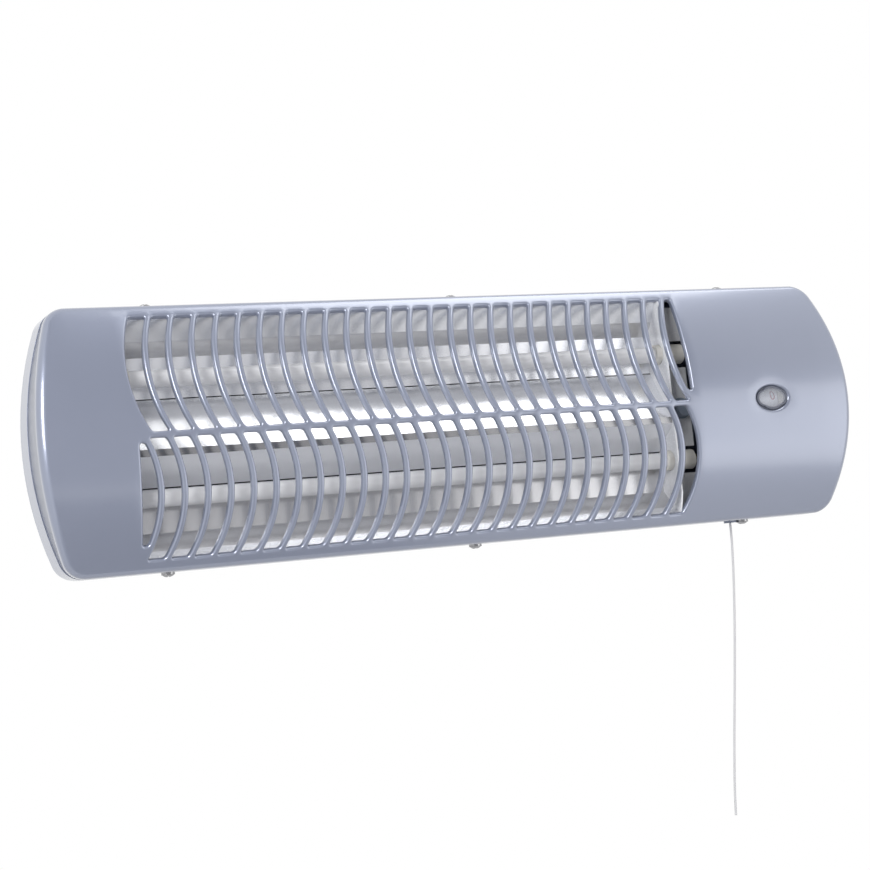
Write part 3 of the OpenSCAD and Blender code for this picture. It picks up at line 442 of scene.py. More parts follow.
def braid(name, dark, light, pitch):
    """A braided thread finish on the piece's own coordinates."""
    made = bpy.data.materials.new(name)
    made.use_nodes = True
    tree = made.node_tree
    shader = tree.nodes["Principled BSDF"]
    place = wired(tree, "ShaderNodeTexCoord")
    waves = []
    for way in (1, -1):
        lay = wired(tree, "ShaderNodeMapping", [("Vector", place.outputs["Object"]),
                                                ("Rotation", (SLANT_X * way, SLANT_Y * way, 0))])
        waves.append(wired(tree, "ShaderNodeTexWave", [
            ("Vector", lay.outputs[0]), ("Scale", WAVE_STRIPE / pitch), ("Distortion", 0.4)],
            bands_direction="Z"))
    cross = wired(tree, "ShaderNodeMath", [(0, waves[0].outputs["Fac"]),
                                           (1, waves[1].outputs["Fac"])], operation="MAXIMUM")
    tint = wired(tree, "ShaderNodeMix", [("Factor", cross.outputs[0])], data_type="RGBA")
    tint.inputs["A"].default_value = (*dark, 1)
    tint.inputs["B"].default_value = (*light, 1)
    tree.links.new(tint.outputs["Result"], shader.inputs["Base Color"])
    relief = wired(tree, "ShaderNodeBump", [("Strength", THREAD_BUMP),
                                            ("Distance", THREAD_DEPTH),
                                            ("Height", cross.outputs[0])])
    tree.links.new(relief.outputs[0], shader.inputs["Normal"])
    shader.inputs["Roughness"].default_value = THREAD_ROUGH
    return made


cord_braid = braid("cord_braid", (0.50, 0.50, 0.52), (0.78, 0.78, 0.79), 0.0012)
sleeve_braid = braid("sleeve_braid", (0.55, 0.53, 0.46), (0.78, 0.76, 0.70), 0.0010)
dress(cord, cord_braid)
print("braids made")

# %% [markdown]
# ## The shape of the front cover
# The real cover is one pressed sheet. It could be sculpted or cut with booleans, but both leave
# uneven edges. It follows rules instead. Its face is part of a cylinder that lies along the
# heater. Its outline has straight long edges, arched ends and round corners. Its slots lie
# between bars that are arcs, repeated at one pitch, and the lower row bows the other way.

# %% Face and outline
HALF_H, HALF_L = 75.0, 265.0
BULGE, END_BULGE, CORNER_R = 19.0, 15.0, 14.0
FACE_R = (HALF_H ** 2 + BULGE ** 2) / (2 * BULGE)
END_R = (HALF_H ** 2 + END_BULGE ** 2) / (2 * END_BULGE)
END_POINTS, CORNER_POINTS, EDGE_POINTS = 22, 16, 22  # for a quarter of the outline
SAME_SPOT = 1e-6  # how close two points of an outline have to be to be one


def face_y(z):
    """Y of the face at height z, in the heater's frame."""
    return FACE_R - BULGE - np.sqrt(FACE_R ** 2 - np.asarray(z, float) ** 2)


def outline():
    """The body's outline as points and outward normals, anticlockwise from the front."""
    c = HALF_L - END_R
    jz = HALF_H - CORNER_R
    jx = c + math.sqrt((END_R - CORNER_R) ** 2 - jz ** 2)
    lean = math.atan2(jz, jx - c)
    points, normals = [], []
    for quarter in range(4):
        sx = 1 if quarter in (0, 3) else -1
        sz = 1 if quarter in (0, 1) else -1
        part = [(c + END_R * math.cos(a), END_R * math.sin(a), math.cos(a), math.sin(a))
                for a in np.linspace(0, lean, END_POINTS)[(1 if quarter % 2 else 0):-1]]
        part += [(jx + CORNER_R * math.cos(a), jz + CORNER_R * math.sin(a),
                  math.cos(a), math.sin(a)) for a in np.linspace(lean, math.pi / 2, CORNER_POINTS)]
        part += [(x, HALF_H, 0.0, 1.0) for x in np.linspace(jx, 0, EDGE_POINTS)[1:]]
        if quarter % 2:
            part = part[::-1][1:]
        points += [(sx * p[0], sz * p[1]) for p in part]
        normals += [(sx * p[2], sz * p[3]) for p in part]
    keep = [i for i in range(len(points)) if math.dist(points[i], points[i - 1]) > SAME_SPOT]
    return np.array(points)[keep], np.array(normals)[keep]


rim, rim_n = outline()
print("outline points:", len(rim))

# %% [markdown]
# ## The slots
# On the real cover the bars are what the punch leaves between the slots. A bar's middle line is
# an arc with a given chord, lean and bow. A slot is what lies between two neighbouring bars,
# cut off by the row's straight edges, with small round corners. Where the row's edge leaves
# only a sliver, the slot ends early.

# %% Bars
PITCH, BAR_W, BARS = 13.39, 3.6, 26
SLOT_TOP, MID_W, SLOT_CORNER = 68.2, 1.8, 1.5
GRILLE_LEFT, GRILLE_RIGHT = -210.0, 145.8
ROWS = {"upper": (-194.6, 4.0, 8.0, -1), "lower": (-206.1, 2.8, 8.4, 1)}  # x, lean, bow, way


def flank(row, k, side):
    """x(z) of the left or right flank of bar k."""
    x, lean, bow, way = ROWS[row]
    z_top, z_foot = (SLOT_TOP, MID_W) if row == "upper" else (-MID_W, -SLOT_TOP)
    lean = lean if row == "upper" else -lean
    x = x + k * PITCH + side * BAR_W / 2
    chord = math.hypot(lean, z_top - z_foot)
    r = (chord ** 2 / 4 + bow ** 2) / (2 * bow)
    across = np.array([(z_top - z_foot) / chord, lean / chord])
    centre = np.array([x + lean / 2, (z_top + z_foot) / 2]) - way * (r - bow) * across
    return lambda z: centre[0] + way * np.sqrt(r ** 2 - (np.asarray(z, float) - centre[1]) ** 2)


print("bars:", BARS * len(ROWS))

# %% Slot loops
SLIVER = 0.2  # what has to be left between two round corners
FINE, SHORTEST = 400, 8  # heights tried along a slot, and how many have to be wide enough
SLOT_STEP = 2.7  # between the points of a slot's long sides
CORNER_BENDS = 6  # points round a slot's corner


def slot_loop(left, right, z0, z1):
    """A slot's edge, anticlockwise, or None if it is too thin to cut."""
    fine = np.linspace(z0, z1, FINE)
    wide = fine[(right(fine) - left(fine)) > 2 * SLOT_CORNER + SLIVER]
    if len(wide) < SHORTEST:
        return None
    z0, z1 = float(wide.min()), float(wide.max())
    bend = np.linspace(0, math.pi / 2, CORNER_BENDS)
    body = np.linspace(z0 + SLOT_CORNER, z1 - SLOT_CORNER,
                       max(3, int((z1 - z0) / SLOT_STEP)))[1:-1]
    up = [(z, 0.0) for z in body]
    low = [(z0 + SLOT_CORNER * (1 - math.sin(a)), SLOT_CORNER * (1 - math.cos(a)))
           for a in bend[::-1]]
    high = [(z1 - SLOT_CORNER * (1 - math.sin(a)), SLOT_CORNER * (1 - math.cos(a)))
            for a in bend]
    side = low + up + high
    right_side = [(float(right(z)) - inset, z) for z, inset in side]
    left_side = [(float(left(z)) + inset, z) for z, inset in side[::-1]]
    return np.array(right_side + left_side)


def all_slots():
    """The loops of both rows."""
    loops = []
    for k in range(BARS + 1):
        left, right = flank("upper", k - 1, 1), flank("upper", k, -1)
        loops.append(slot_loop(left, lambda z, f=right: np.minimum(f(z), GRILLE_RIGHT),
                               MID_W, SLOT_TOP))
        left, right = flank("lower", k - 1, 1), flank("lower", k, -1)
        loops.append(slot_loop(lambda z, f=left: np.maximum(f(z), GRILLE_LEFT), right,
                               -SLOT_TOP, -MID_W))
    return [loop for loop in loops if loop is not None]


slots = all_slots()
print("slots:", len(slots))

# %% [markdown]
# ## Rolled edges
# Pressed sheet turns inwards at every slot, which is why the bars look round. A bevel could do
# it, but it would thin the bars. Each slot's loop becomes a run of rings instead: the first
# lies on the face, the next ones turn over a small radius, and the last stands inside. They are
# laid out flat here, with the depth as Y, and pressed to the curve later, as the sheet is.
# The window's hole is an oval whose wider roll makes the dimple round the window.

# %% Rolled rings
ROLL_R, LIP = 1.5, 3.2
WINDOW_X, WINDOW_HOLE = 204.0, (11.5, 7.6)
DIMPLE_R, DIMPLE_LIP = 2.3, 2.9


def loop_normals(loop):
    """Normals that point out of an anticlockwise loop."""
    ahead = np.roll(loop, -1, axis=0) - loop
    behind = loop - np.roll(loop, 1, axis=0)
    t = (ahead / np.linalg.norm(ahead, axis=1)[:, None]
         + behind / np.linalg.norm(behind, axis=1)[:, None])
    t /= np.linalg.norm(t, axis=1)[:, None]
    return np.column_stack([t[:, 1], -t[:, 0]])


def layered(flat, depth):
    """Points (x, depth, z) of the flat sheet, before it is pressed to its curve."""
    return np.column_stack([flat[:, 0], np.full(len(flat), depth), flat[:, 1]])


def rolled(loop, radius, lip, bends=5):
    """The rings of one rolled edge, from the face inwards."""
    n = loop_normals(loop)
    rings = [layered(loop + n * radius * (1 - math.sin(a)), radius * (1 - math.cos(a)))
             for a in np.linspace(0, math.pi / 2, bends + 1)]
    return rings + [layered(loop, radius + (lip - radius) * t) for t in (0.5, 1.0)]


def oval(a, b, count=64):
    """An oval of half sizes a and b about the window's centre."""
    t = np.arange(count) * 2 * math.pi / count
    return np.column_stack([WINDOW_X + a * np.cos(t), b * np.sin(t)])


holes = [(s, ROLL_R, LIP) for s in slots] + [(oval(*WINDOW_HOLE), DIMPLE_R, DIMPLE_LIP)]
print("rolled holes:", len(holes))

# %% [markdown]
# ## The long way round the edge
# The real face turns into the side over a radius, and a shallow crease runs round behind it.
# A bevel can't follow the face's changing slope, so this edge too is a run of rings. The arc
# starts square to the face and ends square to the side, whatever the slope is there. Behind
# the crease the side ends at the seam, and a narrower flange goes on inside the rear shell.

# %% Edge rings
EDGE_R, EDGE_BENDS = 5.0, 8
CREASE_BACK = 7.6  # from the face's edge to the crease
CREASE = ((-0.7, 0.0), (-0.25, 0.12), (0.25, 0.5), (0.8, 0.62))  # back and inset of each ring
CREASE_GAP, CREASE_SHARE = 0.3, 0.5  # from the rounded edge, where the face leaves no room
SEAM, SEAM_GAP, FLANGE_L, FLANGE_IN = 8.6, 0.8, 9.9, 1.15
SEAM_ROLL = ((-0.35, 0.3), (-0.1, 0.36), (0.0, 0.6), (0.0, FLANGE_IN), (FLANGE_L, FLANGE_IN))


def rim_ring(inset, y):
    """The outline set in by inset, at depth y."""
    flat = rim - rim_n * inset
    return np.column_stack([flat[:, 0], np.broadcast_to(RIM + y, len(rim)), flat[:, 1]])


def edge_rings():
    """Rings from the face's edge back to the seam, as 3-D points."""
    z = rim[:, 1]
    tip = np.arctan(z / np.sqrt(FACE_R ** 2 - z ** 2) * rim_n[:, 1])
    touch = rim - rim_n * (EDGE_R * (1 - np.sin(tip)))[:, None]
    centre = face_y(touch[:, 1]) + EDGE_R * np.cos(tip)
    rings = []
    for t in np.linspace(0, 1, EDGE_BENDS + 1):
        a = tip + (math.pi / 2 - tip) * t
        rings.append(rim_ring((EDGE_R * (1 - np.sin(a)))[:, None], centre - EDGE_R * np.cos(a)))
    for back, inset in CREASE:
        least = centre + CREASE_GAP + (back + 1) * CREASE_SHARE
        y = np.maximum(face_y(z) + CREASE_BACK + back, least)
        rings.append(rim_ring(inset, np.minimum(y, SEAM - SEAM_GAP)))
    return rings + [rim_ring(inset, SEAM + back) for back, inset in SEAM_ROLL]


edge = edge_rings()
print("edge rings:", len(edge))

# %% [markdown]
# ## The press
# A real cover is cut flat and then pressed over a former. A Simple Deform modifier bends too,
# but by an angle. Geometry nodes can do what the press does: the tree reads each point's place
# on the flat sheet and its depth, and moves it to the curved face. The former's radius and
# rise are named inputs. Points that are not marked as sheet, such as the side's, stay where
# they are.

# %% Geometry-nodes helpers
def new_tree(name, inputs):
    """A geometry-nodes tree with named number inputs, and the ids of their sockets."""
    tree = bpy.data.node_groups.new(name, "GeometryNodeTree")
    tree.interface.new_socket("Geometry", in_out="INPUT", socket_type="NodeSocketGeometry")
    ids = {}
    for label, kind, value in inputs:
        socket = tree.interface.new_socket(label, in_out="INPUT", socket_type=kind)
        socket.default_value = value
        ids[label] = socket.identifier
    tree.interface.new_socket("Geometry", in_out="OUTPUT", socket_type="NodeSocketGeometry")
    return tree, ids


def calc(tree, how, a, b=0.0):
    """A math node's output."""
    node = tree.nodes.new("ShaderNodeMath")
    node.operation = how
    for i, value in enumerate((a, b)):
        if hasattr(value, "is_output"):
            tree.links.new(value, node.inputs[i])
        else:
            node.inputs[i].default_value = value
    return node.outputs[0]


def closed_tree(tree, geometry, material):
    """Ends a tree in real geometry with its material."""
    real = tree.nodes.new("GeometryNodeRealizeInstances")
    tree.links.new(geometry, real.inputs["Geometry"])
    coat = tree.nodes.new("GeometryNodeSetMaterial")
    coat.inputs["Material"].default_value = material
    tree.links.new(real.outputs["Geometry"], coat.inputs["Geometry"])
    sink = tree.nodes.new("NodeGroupOutput")
    tree.links.new(coat.outputs["Geometry"], sink.inputs["Geometry"])


def worked(obj, tree, ids, values):
    """Runs the tree on obj, with values other than the tree's own, and leaves a plain mesh."""
    mod = obj.modifiers.new("tree", "NODES")
    mod.node_group = tree
    for label, value in values.items():
        mod[ids[label]] = value
    return baked(obj)


def run_tree(name, tree, ids, values, points):
    """A mesh object made by the tree from bare points."""
    mesh = bpy.data.meshes.new(name)
    mesh.from_pydata([tuple(p) for p in points], [], [])
    obj = bpy.data.objects.new(name, mesh)
    scene.collection.objects.link(obj)
    return worked(obj, tree, ids, values)


print("tree helpers ready")

# %% Press tree
def press_tree(material):
    """Moves the flat sheet's points to the curved face."""
    tree, ids = new_tree("press", [
        ("Face radius", "NodeSocketFloat", FACE_R * MM), ("Rise", "NodeSocketFloat", BULGE * MM),
        ("Rim", "NodeSocketFloat", RIM * MM)])
    n, link = tree.nodes, tree.links.new
    source = n.new("NodeGroupInput")
    radius = source.outputs["Face radius"]
    at = n.new("ShaderNodeSeparateXYZ")
    link(n.new("GeometryNodeInputPosition").outputs[0], at.inputs[0])
    x, depth, z = at.outputs
    lean = calc(tree, "DIVIDE", z, radius)
    level = calc(tree, "SQRT", calc(tree, "SUBTRACT", 1.0, calc(tree, "MULTIPLY", lean, lean)))
    base = calc(tree, "ADD", calc(tree, "SUBTRACT", source.outputs["Rim"],
                                  source.outputs["Rise"]), radius)
    sunk = calc(tree, "MULTIPLY", calc(tree, "SUBTRACT", radius, depth), level)
    spot = n.new("ShaderNodeCombineXYZ")
    link(x, spot.inputs[0])
    link(calc(tree, "SUBTRACT", base, sunk), spot.inputs[1])
    link(calc(tree, "SUBTRACT", z, calc(tree, "MULTIPLY", depth, lean)), spot.inputs[2])
    mark = n.new("GeometryNodeInputNamedAttribute")
    mark.inputs["Name"].default_value = "sheet"
    move = n.new("GeometryNodeSetPosition")
    link(source.outputs["Geometry"], move.inputs["Geometry"])
    link(calc(tree, "GREATER_THAN", mark.outputs[0], 0.5), move.inputs["Selection"])
    link(spot.outputs[0], move.inputs["Position"])
    closed_tree(tree, move.outputs["Geometry"], material)
    return tree, ids


print("press tree defined")

# %% [markdown]
# ## Filling the face
# The flat of the face could be filled by hand, slot by slot. One constrained triangulation in
# front view does it at once. It is bounded by the first edge ring and by the first ring of
# every hole. Rows of extra points keep its curve even, and triangles inside a hole are dropped.

# %% Extra points
ROW_END, ROW_STEP, COLUMN_STEP = 66, 6.0, 8.0
LEFT_END, RIGHT_END = (-240, -215), (152, 246)  # x of the plain ends of the face
END_MARGIN = 1.012  # how much farther out a point still has to be inside the border
CLEAR_X, CLEAR_Z = 17.5, 12.5  # half sizes of the oval kept clear round the window


def inside(loop, p):
    """Whether the point p lies inside the loop."""
    x, z = loop[:, 0], loop[:, 1]
    x2, z2 = np.roll(x, -1), np.roll(z, -1)
    cross = (z > p[1]) != (z2 > p[1])
    at = x + (p[1] - z) / np.where(z2 == z, 1e-9, z2 - z) * (x2 - x)
    return bool(np.sum(cross & (p[0] < at)) % 2)


def spread(border):
    """Extra points (x, z) on the plain ends of the face, clear of the border and window."""
    rows = np.arange(-ROW_END, ROW_END + 1, ROW_STEP)
    columns = np.concatenate([np.arange(*end, COLUMN_STEP) for end in (LEFT_END, RIGHT_END)])
    return [(x, z) for z in rows for x in columns
            if inside(border, (x * END_MARGIN, z))
            and ((x - WINDOW_X) / CLEAR_X) ** 2 + (z / CLEAR_Z) ** 2 > 1]


print("helpers for the flat ready")

# %% Lay out the sheet
class Sheet:
    """Points and faces of the cover, with a mark on what the press has to move."""

    def __init__(self):
        self.points, self.faces, self.mark, self.loops = [], [], [], []

    def band(self, rings, mark, flip=False):
        """Adds quads between rings, and keeps the first ring as a border of the flat."""
        start, count = len(self.points), len(rings[0])
        for ring in rings:
            self.points += ring.tolist()
            self.mark += [mark] * count
        for face in ring_faces(len(rings), count):
            face = [start + i for i in face]
            self.faces.append(face[::-1] if flip else face)
        self.loops.append((list(range(start, start + count)), rings[0][:, [0, 2]]))


sheet = Sheet()
sheet.band(edge, 0.0, flip=True)
for hole in holes:
    sheet.band(rolled(*hole), 1.0)
print("bands:", len(sheet.loops))

# %% Fill the flat
def fill(sheet):
    """Triangulates the flat between the borders."""
    flat, tie, edges, owner = [], [], [], []
    for which, (ids, ring) in enumerate(sheet.loops):
        base = len(flat)
        flat += ring.tolist()
        tie += ids
        owner += [which] * len(ids)
        edges += [(base + i, base + (i + 1) % len(ids)) for i in range(len(ids))]
    border = sheet.loops[0][1]
    for x, z in spread(border):
        flat.append([x, z])
        tie.append(len(sheet.points))
        owner.append(-1)
        sheet.points.append([x, 0.0, z])
        sheet.mark.append(1.0)
    _, _, triangles, source, _, _ = delaunay_2d_cdt(flat, edges, [], 0, SAME_SPOT)
    for triangle in triangles:
        ids = [source[i][0] for i in triangle if source[i]]
        owners = {owner[i] for i in ids}
        if len(ids) < 3:
            continue
        if len(owners) == 1 and -1 not in owners:
            which = owners.pop()
            middle = np.mean([flat[i] for i in ids], axis=0)
            if inside(sheet.loops[which][1], middle) != (which == 0):
                continue
        sheet.faces.append([tie[i] for i in ids])


fill(sheet)
print("sheet:", len(sheet.points), "points,", len(sheet.faces), "faces")

# %% [markdown]
# ## Pressing the cover
# The flat sheet goes through the press. Its faces are then turned outwards, and Solidify gives
# the sheet its thickness inwards. The order matters, because on a closed shell the turning
# would take the inner wall for an outer one.

# %% Press the cover
SHEET_T, COVER_SHARP = 0.8, 50
PLAIN_SPOT = (0.225, -0.096, 0.03)  # in metres, on the plain right end of the face

cover = add_mesh("cover_sheet", sheet.points, sheet.faces, sharp=COVER_SHARP)
mark = cover.data.attributes.new("sheet", "FLOAT", "POINT")
mark.data.foreach_set("value", sheet.mark)
tree, ids = press_tree(paint)
worked(cover, tree, ids, {})
outward(cover)
front = min(cover.data.polygons, key=lambda f: math.dist(f.center, PLAIN_SPOT))
if front.normal[1] > 0:
    cover.data.flip_normals()
wall = cover.modifiers.new("wall", "SOLIDIFY")
wall.thickness = SHEET_T * MM
wall.offset = -1
baked(cover)
smooth_but_sharp(cover.data, COVER_SHARP)
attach(cover, "heater")
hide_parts("front_cover")
dress(cover, paint)
print("cover faces:", len(cover.data.polygons))

# %% [markdown]
# ## The quartz tubes
# Each real heating element is a quartz tube with a wire coil inside. A cylinder primitive has
# neither a wall nor rounded ends, so each tube is turned from its own wall section.

# %% Tubes
TUBE_Y, TUBE_Z = RIM + 4.3, 33.75
TUBE_START, TUBE_END = -222.0, 147.0
TUBE_R, TUBE_BORE, TUBE_ROUND = 5.0, 4.1, 0.3
LEVELS = (("upper", TUBE_Z), ("lower", -TUBE_Z))
section = [(TUBE_BORE, TUBE_START), (TUBE_R - TUBE_ROUND, TUBE_START),
           (TUBE_R, TUBE_START + TUBE_ROUND), (TUBE_R, TUBE_END - TUBE_ROUND),
           (TUBE_R - TUBE_ROUND, TUBE_END), (TUBE_BORE, TUBE_END)]

for name, z in LEVELS:
    tube = turned_along_x(f"tube_{name}", section, (0, TUBE_Y, z))
    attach(tube, "heater")
    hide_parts(f"quartz_tube_{name}")
    dress(tube, quartz)
print("tubes:", len(LEVELS))

# %% [markdown]
# ## Dressing the model
# The finishes can be given piece by piece or from one table. A table shows at a glance what is
# made of what. Every solid that is kept gets its finish through its material slots, and its
# mesh is left alone.

# %% Dress the nodes
FINISHES = {
    paint: ["rear_shell"],
    bracket_paint: ["wall_bracket", "tilt_ear_left", "tilt_ear_right"],
    bright_sheet: ["reflector"],
    mirror_sheet: ["end_bracket_left", "end_bracket_right"],
    ceramic: ["ceramic_caps"],
    turned_brass: ["tube_terminals", "earth_screw", "ratchet_wheel", "pawl"],
    zinc: ["link_strap", "switch_frame", "ear_rivets", "pivot_bolts", "switch_shaft",
           "pull_link"],
    screw_bright: ["inner_screws"],
    spring_wire: ["return_spring"],
    dark_plastic: ["window_bezel"],
    cutout_plastic: ["thermal_cutout"],
    black_plastic: ["clamp_knob_left", "clamp_knob_right"],
    rubber: ["mains_gland", "friction_washers"],
    pale_plastic: ["terminal_block", "switch_body", "pull_lever", "cord_clip"],
    drum_white: ["indicator_drum"],
    bush_plastic: ["cord_bush"],
    sleeve_braid: ["heater_wires", "supply_wires"],
    cord_braid: ["inner_cord"],
}

for finish, names in FINISHES.items():
    for name in names:
        dress(nodes[name], finish)
print("dressed:", sum(len(v) for v in FINISHES.values()), "nodes")

# %% [markdown]
# ## Winding the coils
# The real wire is wound in nearly two hundred turns. A screw modifier could wind it, but a
# small tree of geometry nodes keeps the wire's and the winding's sizes as named inputs. It
# thickens a spiral and lays it along X. Both coils come from the one tree, with the same
# sizes.

# %% Coil tree
COIL_R, COIL_L, COIL_TURNS, WIRE_R = 2.6, 337.0, 187.0, 0.35
TURN_POINTS, WIRE_POINTS = 14, 6


def coil_tree(material):
    """A spiral, thickened and laid along X, at each point."""
    tree, ids = new_tree("coil", [
        ("Radius", "NodeSocketFloat", COIL_R * MM), ("Length", "NodeSocketFloat", COIL_L * MM),
        ("Turns", "NodeSocketFloat", COIL_TURNS), ("Wire", "NodeSocketFloat", WIRE_R * MM)])
    n, link = tree.nodes, tree.links.new
    source = n.new("NodeGroupInput")
    spiral = n.new("GeometryNodeCurveSpiral")
    spiral.inputs["Resolution"].default_value = TURN_POINTS
    link(source.outputs["Radius"], spiral.inputs["Start Radius"])
    link(source.outputs["Radius"], spiral.inputs["End Radius"])
    link(source.outputs["Length"], spiral.inputs["Height"])
    link(source.outputs["Turns"], spiral.inputs["Rotations"])
    ring = n.new("GeometryNodeCurvePrimitiveCircle")
    ring.inputs["Resolution"].default_value = WIRE_POINTS
    link(source.outputs["Wire"], ring.inputs["Radius"])
    thick = n.new("GeometryNodeCurveToMesh")
    thick.inputs["Fill Caps"].default_value = True
    link(spiral.outputs["Curve"], thick.inputs["Curve"])
    link(ring.outputs["Curve"], thick.inputs["Profile Curve"])
    lay = n.new("GeometryNodeTransform")
    lay.inputs["Rotation"].default_value = (0, math.pi / 2, 0)
    link(thick.outputs["Mesh"], lay.inputs["Geometry"])
    on_points = n.new("GeometryNodeInstanceOnPoints")
    link(source.outputs["Geometry"], on_points.inputs["Points"])
    link(lay.outputs["Geometry"], on_points.inputs["Instance"])
    closed_tree(tree, on_points.outputs["Instances"], material)
    return tree, ids


print("coil tree defined")

# %% Wind the coils
COIL_START = -206.0

tree, ids = coil_tree(coil_wire)
for name, z in LEVELS:
    spot = (COIL_START * MM, TUBE_Y * MM, z * MM)
    coil = run_tree(f"coil_wire_{name}", tree, ids, {}, [spot])
    outward(coil)
    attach(coil, "heater")
    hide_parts(f"coil_{name}")
    print(coil.name, len(coil.data.polygons), "faces")

# %% [markdown]
# ## The cover screws
# Six pan-head screws hold the cover. A cross could be cut into each head with a boolean, which
# is slow and leaves poor faces. The tree raises a disc by a rule instead: the height falls
# with the radius, and drops again inside the cross. One head stands at each point of a small
# mesh, so three points give three screws.

# %% Pan head
HEAD_R, HEAD_H, HEAD_POINTS, HEAD_RINGS = 3.9, 2.7, 32, 9
DOME_POWER, DOME_FALL = 2.4, 0.62  # how late the dome falls, and how far, as shares
CROSS_ARM, CROSS_REACH, CROSS_DEPTH = 0.13, 0.56, 0.30  # shares of the radius and height


def head_fall(tree, x, y, radius):
    """How far the top falls at (x, y), as a share of the head's height."""
    reach = calc(tree, "SQRT", calc(tree, "ADD", calc(tree, "MULTIPLY", x, x),
                                    calc(tree, "MULTIPLY", y, y)))
    share = calc(tree, "DIVIDE", reach, radius)
    dome = calc(tree, "MULTIPLY", calc(tree, "POWER", share, DOME_POWER), DOME_FALL)
    arm = calc(tree, "MINIMUM", calc(tree, "ABSOLUTE", x), calc(tree, "ABSOLUTE", y))
    in_arm = calc(tree, "LESS_THAN", arm, calc(tree, "MULTIPLY", radius, CROSS_ARM))
    in_reach = calc(tree, "LESS_THAN", share, CROSS_REACH)
    cut = calc(tree, "MULTIPLY", calc(tree, "MULTIPLY", in_arm, in_reach), CROSS_DEPTH)
    return calc(tree, "MAXIMUM", dome, cut)


def pan_head(tree, source):
    """A disc that stands on Z = 0, with a domed top and a cross in it."""
    n, link = tree.nodes, tree.links.new
    radius, height = source.outputs["Head radius"], source.outputs["Head height"]
    disc = n.new("GeometryNodeMeshCylinder")
    disc.inputs["Vertices"].default_value = HEAD_POINTS
    disc.inputs["Side Segments"].default_value = 2
    disc.inputs["Fill Segments"].default_value = HEAD_RINGS
    link(radius, disc.inputs["Radius"])
    link(height, disc.inputs["Depth"])
    at = n.new("ShaderNodeSeparateXYZ")
    link(n.new("GeometryNodeInputPosition").outputs[0], at.inputs[0])
    x, y, z = at.outputs
    is_top = calc(tree, "GREATER_THAN", z, 0.0)
    half = calc(tree, "MULTIPLY", height, 0.5)
    drop = calc(tree, "MULTIPLY", calc(tree, "MULTIPLY", head_fall(tree, x, y, radius), height),
                is_top)
    spot = n.new("ShaderNodeCombineXYZ")
    link(x, spot.inputs[0])
    link(y, spot.inputs[1])
    link(calc(tree, "SUBTRACT", calc(tree, "ADD", z, half), drop), spot.inputs[2])
    shape = n.new("GeometryNodeSetPosition")
    link(disc.outputs["Mesh"], shape.inputs["Geometry"])
    link(spot.outputs[0], shape.inputs["Position"])
    return shape.outputs[0]


print("pan head defined")

# %% Screw tree
SHANK_R, SHANK_L, SHANK_POINTS = 1.8, 6.0, 20


def shank(tree, source):
    """A cylinder that hangs from Z = 0."""
    n, link = tree.nodes, tree.links.new
    rod = n.new("GeometryNodeMeshCylinder")
    rod.inputs["Vertices"].default_value = SHANK_POINTS
    link(source.outputs["Shank radius"], rod.inputs["Radius"])
    link(source.outputs["Shank length"], rod.inputs["Depth"])
    down = n.new("GeometryNodeTransform")
    link(rod.outputs["Mesh"], down.inputs["Geometry"])
    low = n.new("ShaderNodeCombineXYZ")
    link(calc(tree, "MULTIPLY", source.outputs["Shank length"], -0.5), low.inputs[2])
    link(low.outputs[0], down.inputs["Translation"])
    return down.outputs[0]


def screw_tree(material):
    """Pan heads with a cross recess and a shank, one at each point."""
    tree, ids = new_tree("pan_screws", [
        ("Head radius", "NodeSocketFloat", HEAD_R * MM),
        ("Head height", "NodeSocketFloat", HEAD_H * MM),
        ("Shank radius", "NodeSocketFloat", SHANK_R * MM),
        ("Shank length", "NodeSocketFloat", SHANK_L * MM),
        ("Turn", "NodeSocketRotation", (0, 0, 0))])
    n, link = tree.nodes, tree.links.new
    source = n.new("NodeGroupInput")
    both = n.new("GeometryNodeJoinGeometry")
    link(pan_head(tree, source), both.inputs[0])
    link(shank(tree, source), both.inputs[0])
    on_points = n.new("GeometryNodeInstanceOnPoints")
    link(source.outputs["Geometry"], on_points.inputs["Points"])
    link(both.outputs[0], on_points.inputs["Instance"])
    link(source.outputs["Turn"], on_points.inputs["Rotation"])
    closed_tree(tree, on_points.outputs["Instances"], material)
    return tree, ids


print("screw tree defined")

# %% Place the cover screws
SCREW_X, SCREW_BACK = 191.7, 13.2

tree, ids = screw_tree(screw_bright)
for name, z, turned in (("top", HALF_H, 0.0), ("bottom", -HALF_H, math.pi)):
    spots = [(x * MM, (RIM + SCREW_BACK) * MM, z * MM) for x in (-SCREW_X, 0.0, SCREW_X)]
    screws = run_tree(f"cover_screws_{name}_made", tree, ids, {"Turn": (turned, 0, 0)}, spots)
    outward(screws)
    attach(screws, "heater")
    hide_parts(f"cover_screws_{name}")
    print(screws.name, len(screws.data.polygons), "faces")

# %% [markdown]
# ## The window
# The moulded window has a small bevel all round, which catches the light as a thin bright line.
# A bevel modifier would need a clean cylinder first. A stack of ovals, each a little farther
# forward and smaller than the last, is as short, and it is closed at both ends.

# %% The window
LENS_A, LENS_B, LENS_FRONT, LENS_BACK = 9.95, 6.05, -18.9, -17.5
LENS_BEVEL = ((0.0, 0.62), (0.12, 0.36), (0.34, 0.15), (0.66, 0.03), (1.0, 0.0))  # inset, back


def lens_rings():
    """Ovals from the window's back edge over its bevel to its front."""
    stack = [(0.0, LENS_BACK)] + [(inset, LENS_FRONT + back) for inset, back in LENS_BEVEL]
    return [np.insert(oval(LENS_A - i, LENS_B - i), 1, RIM + y, axis=1) for i, y in stack]


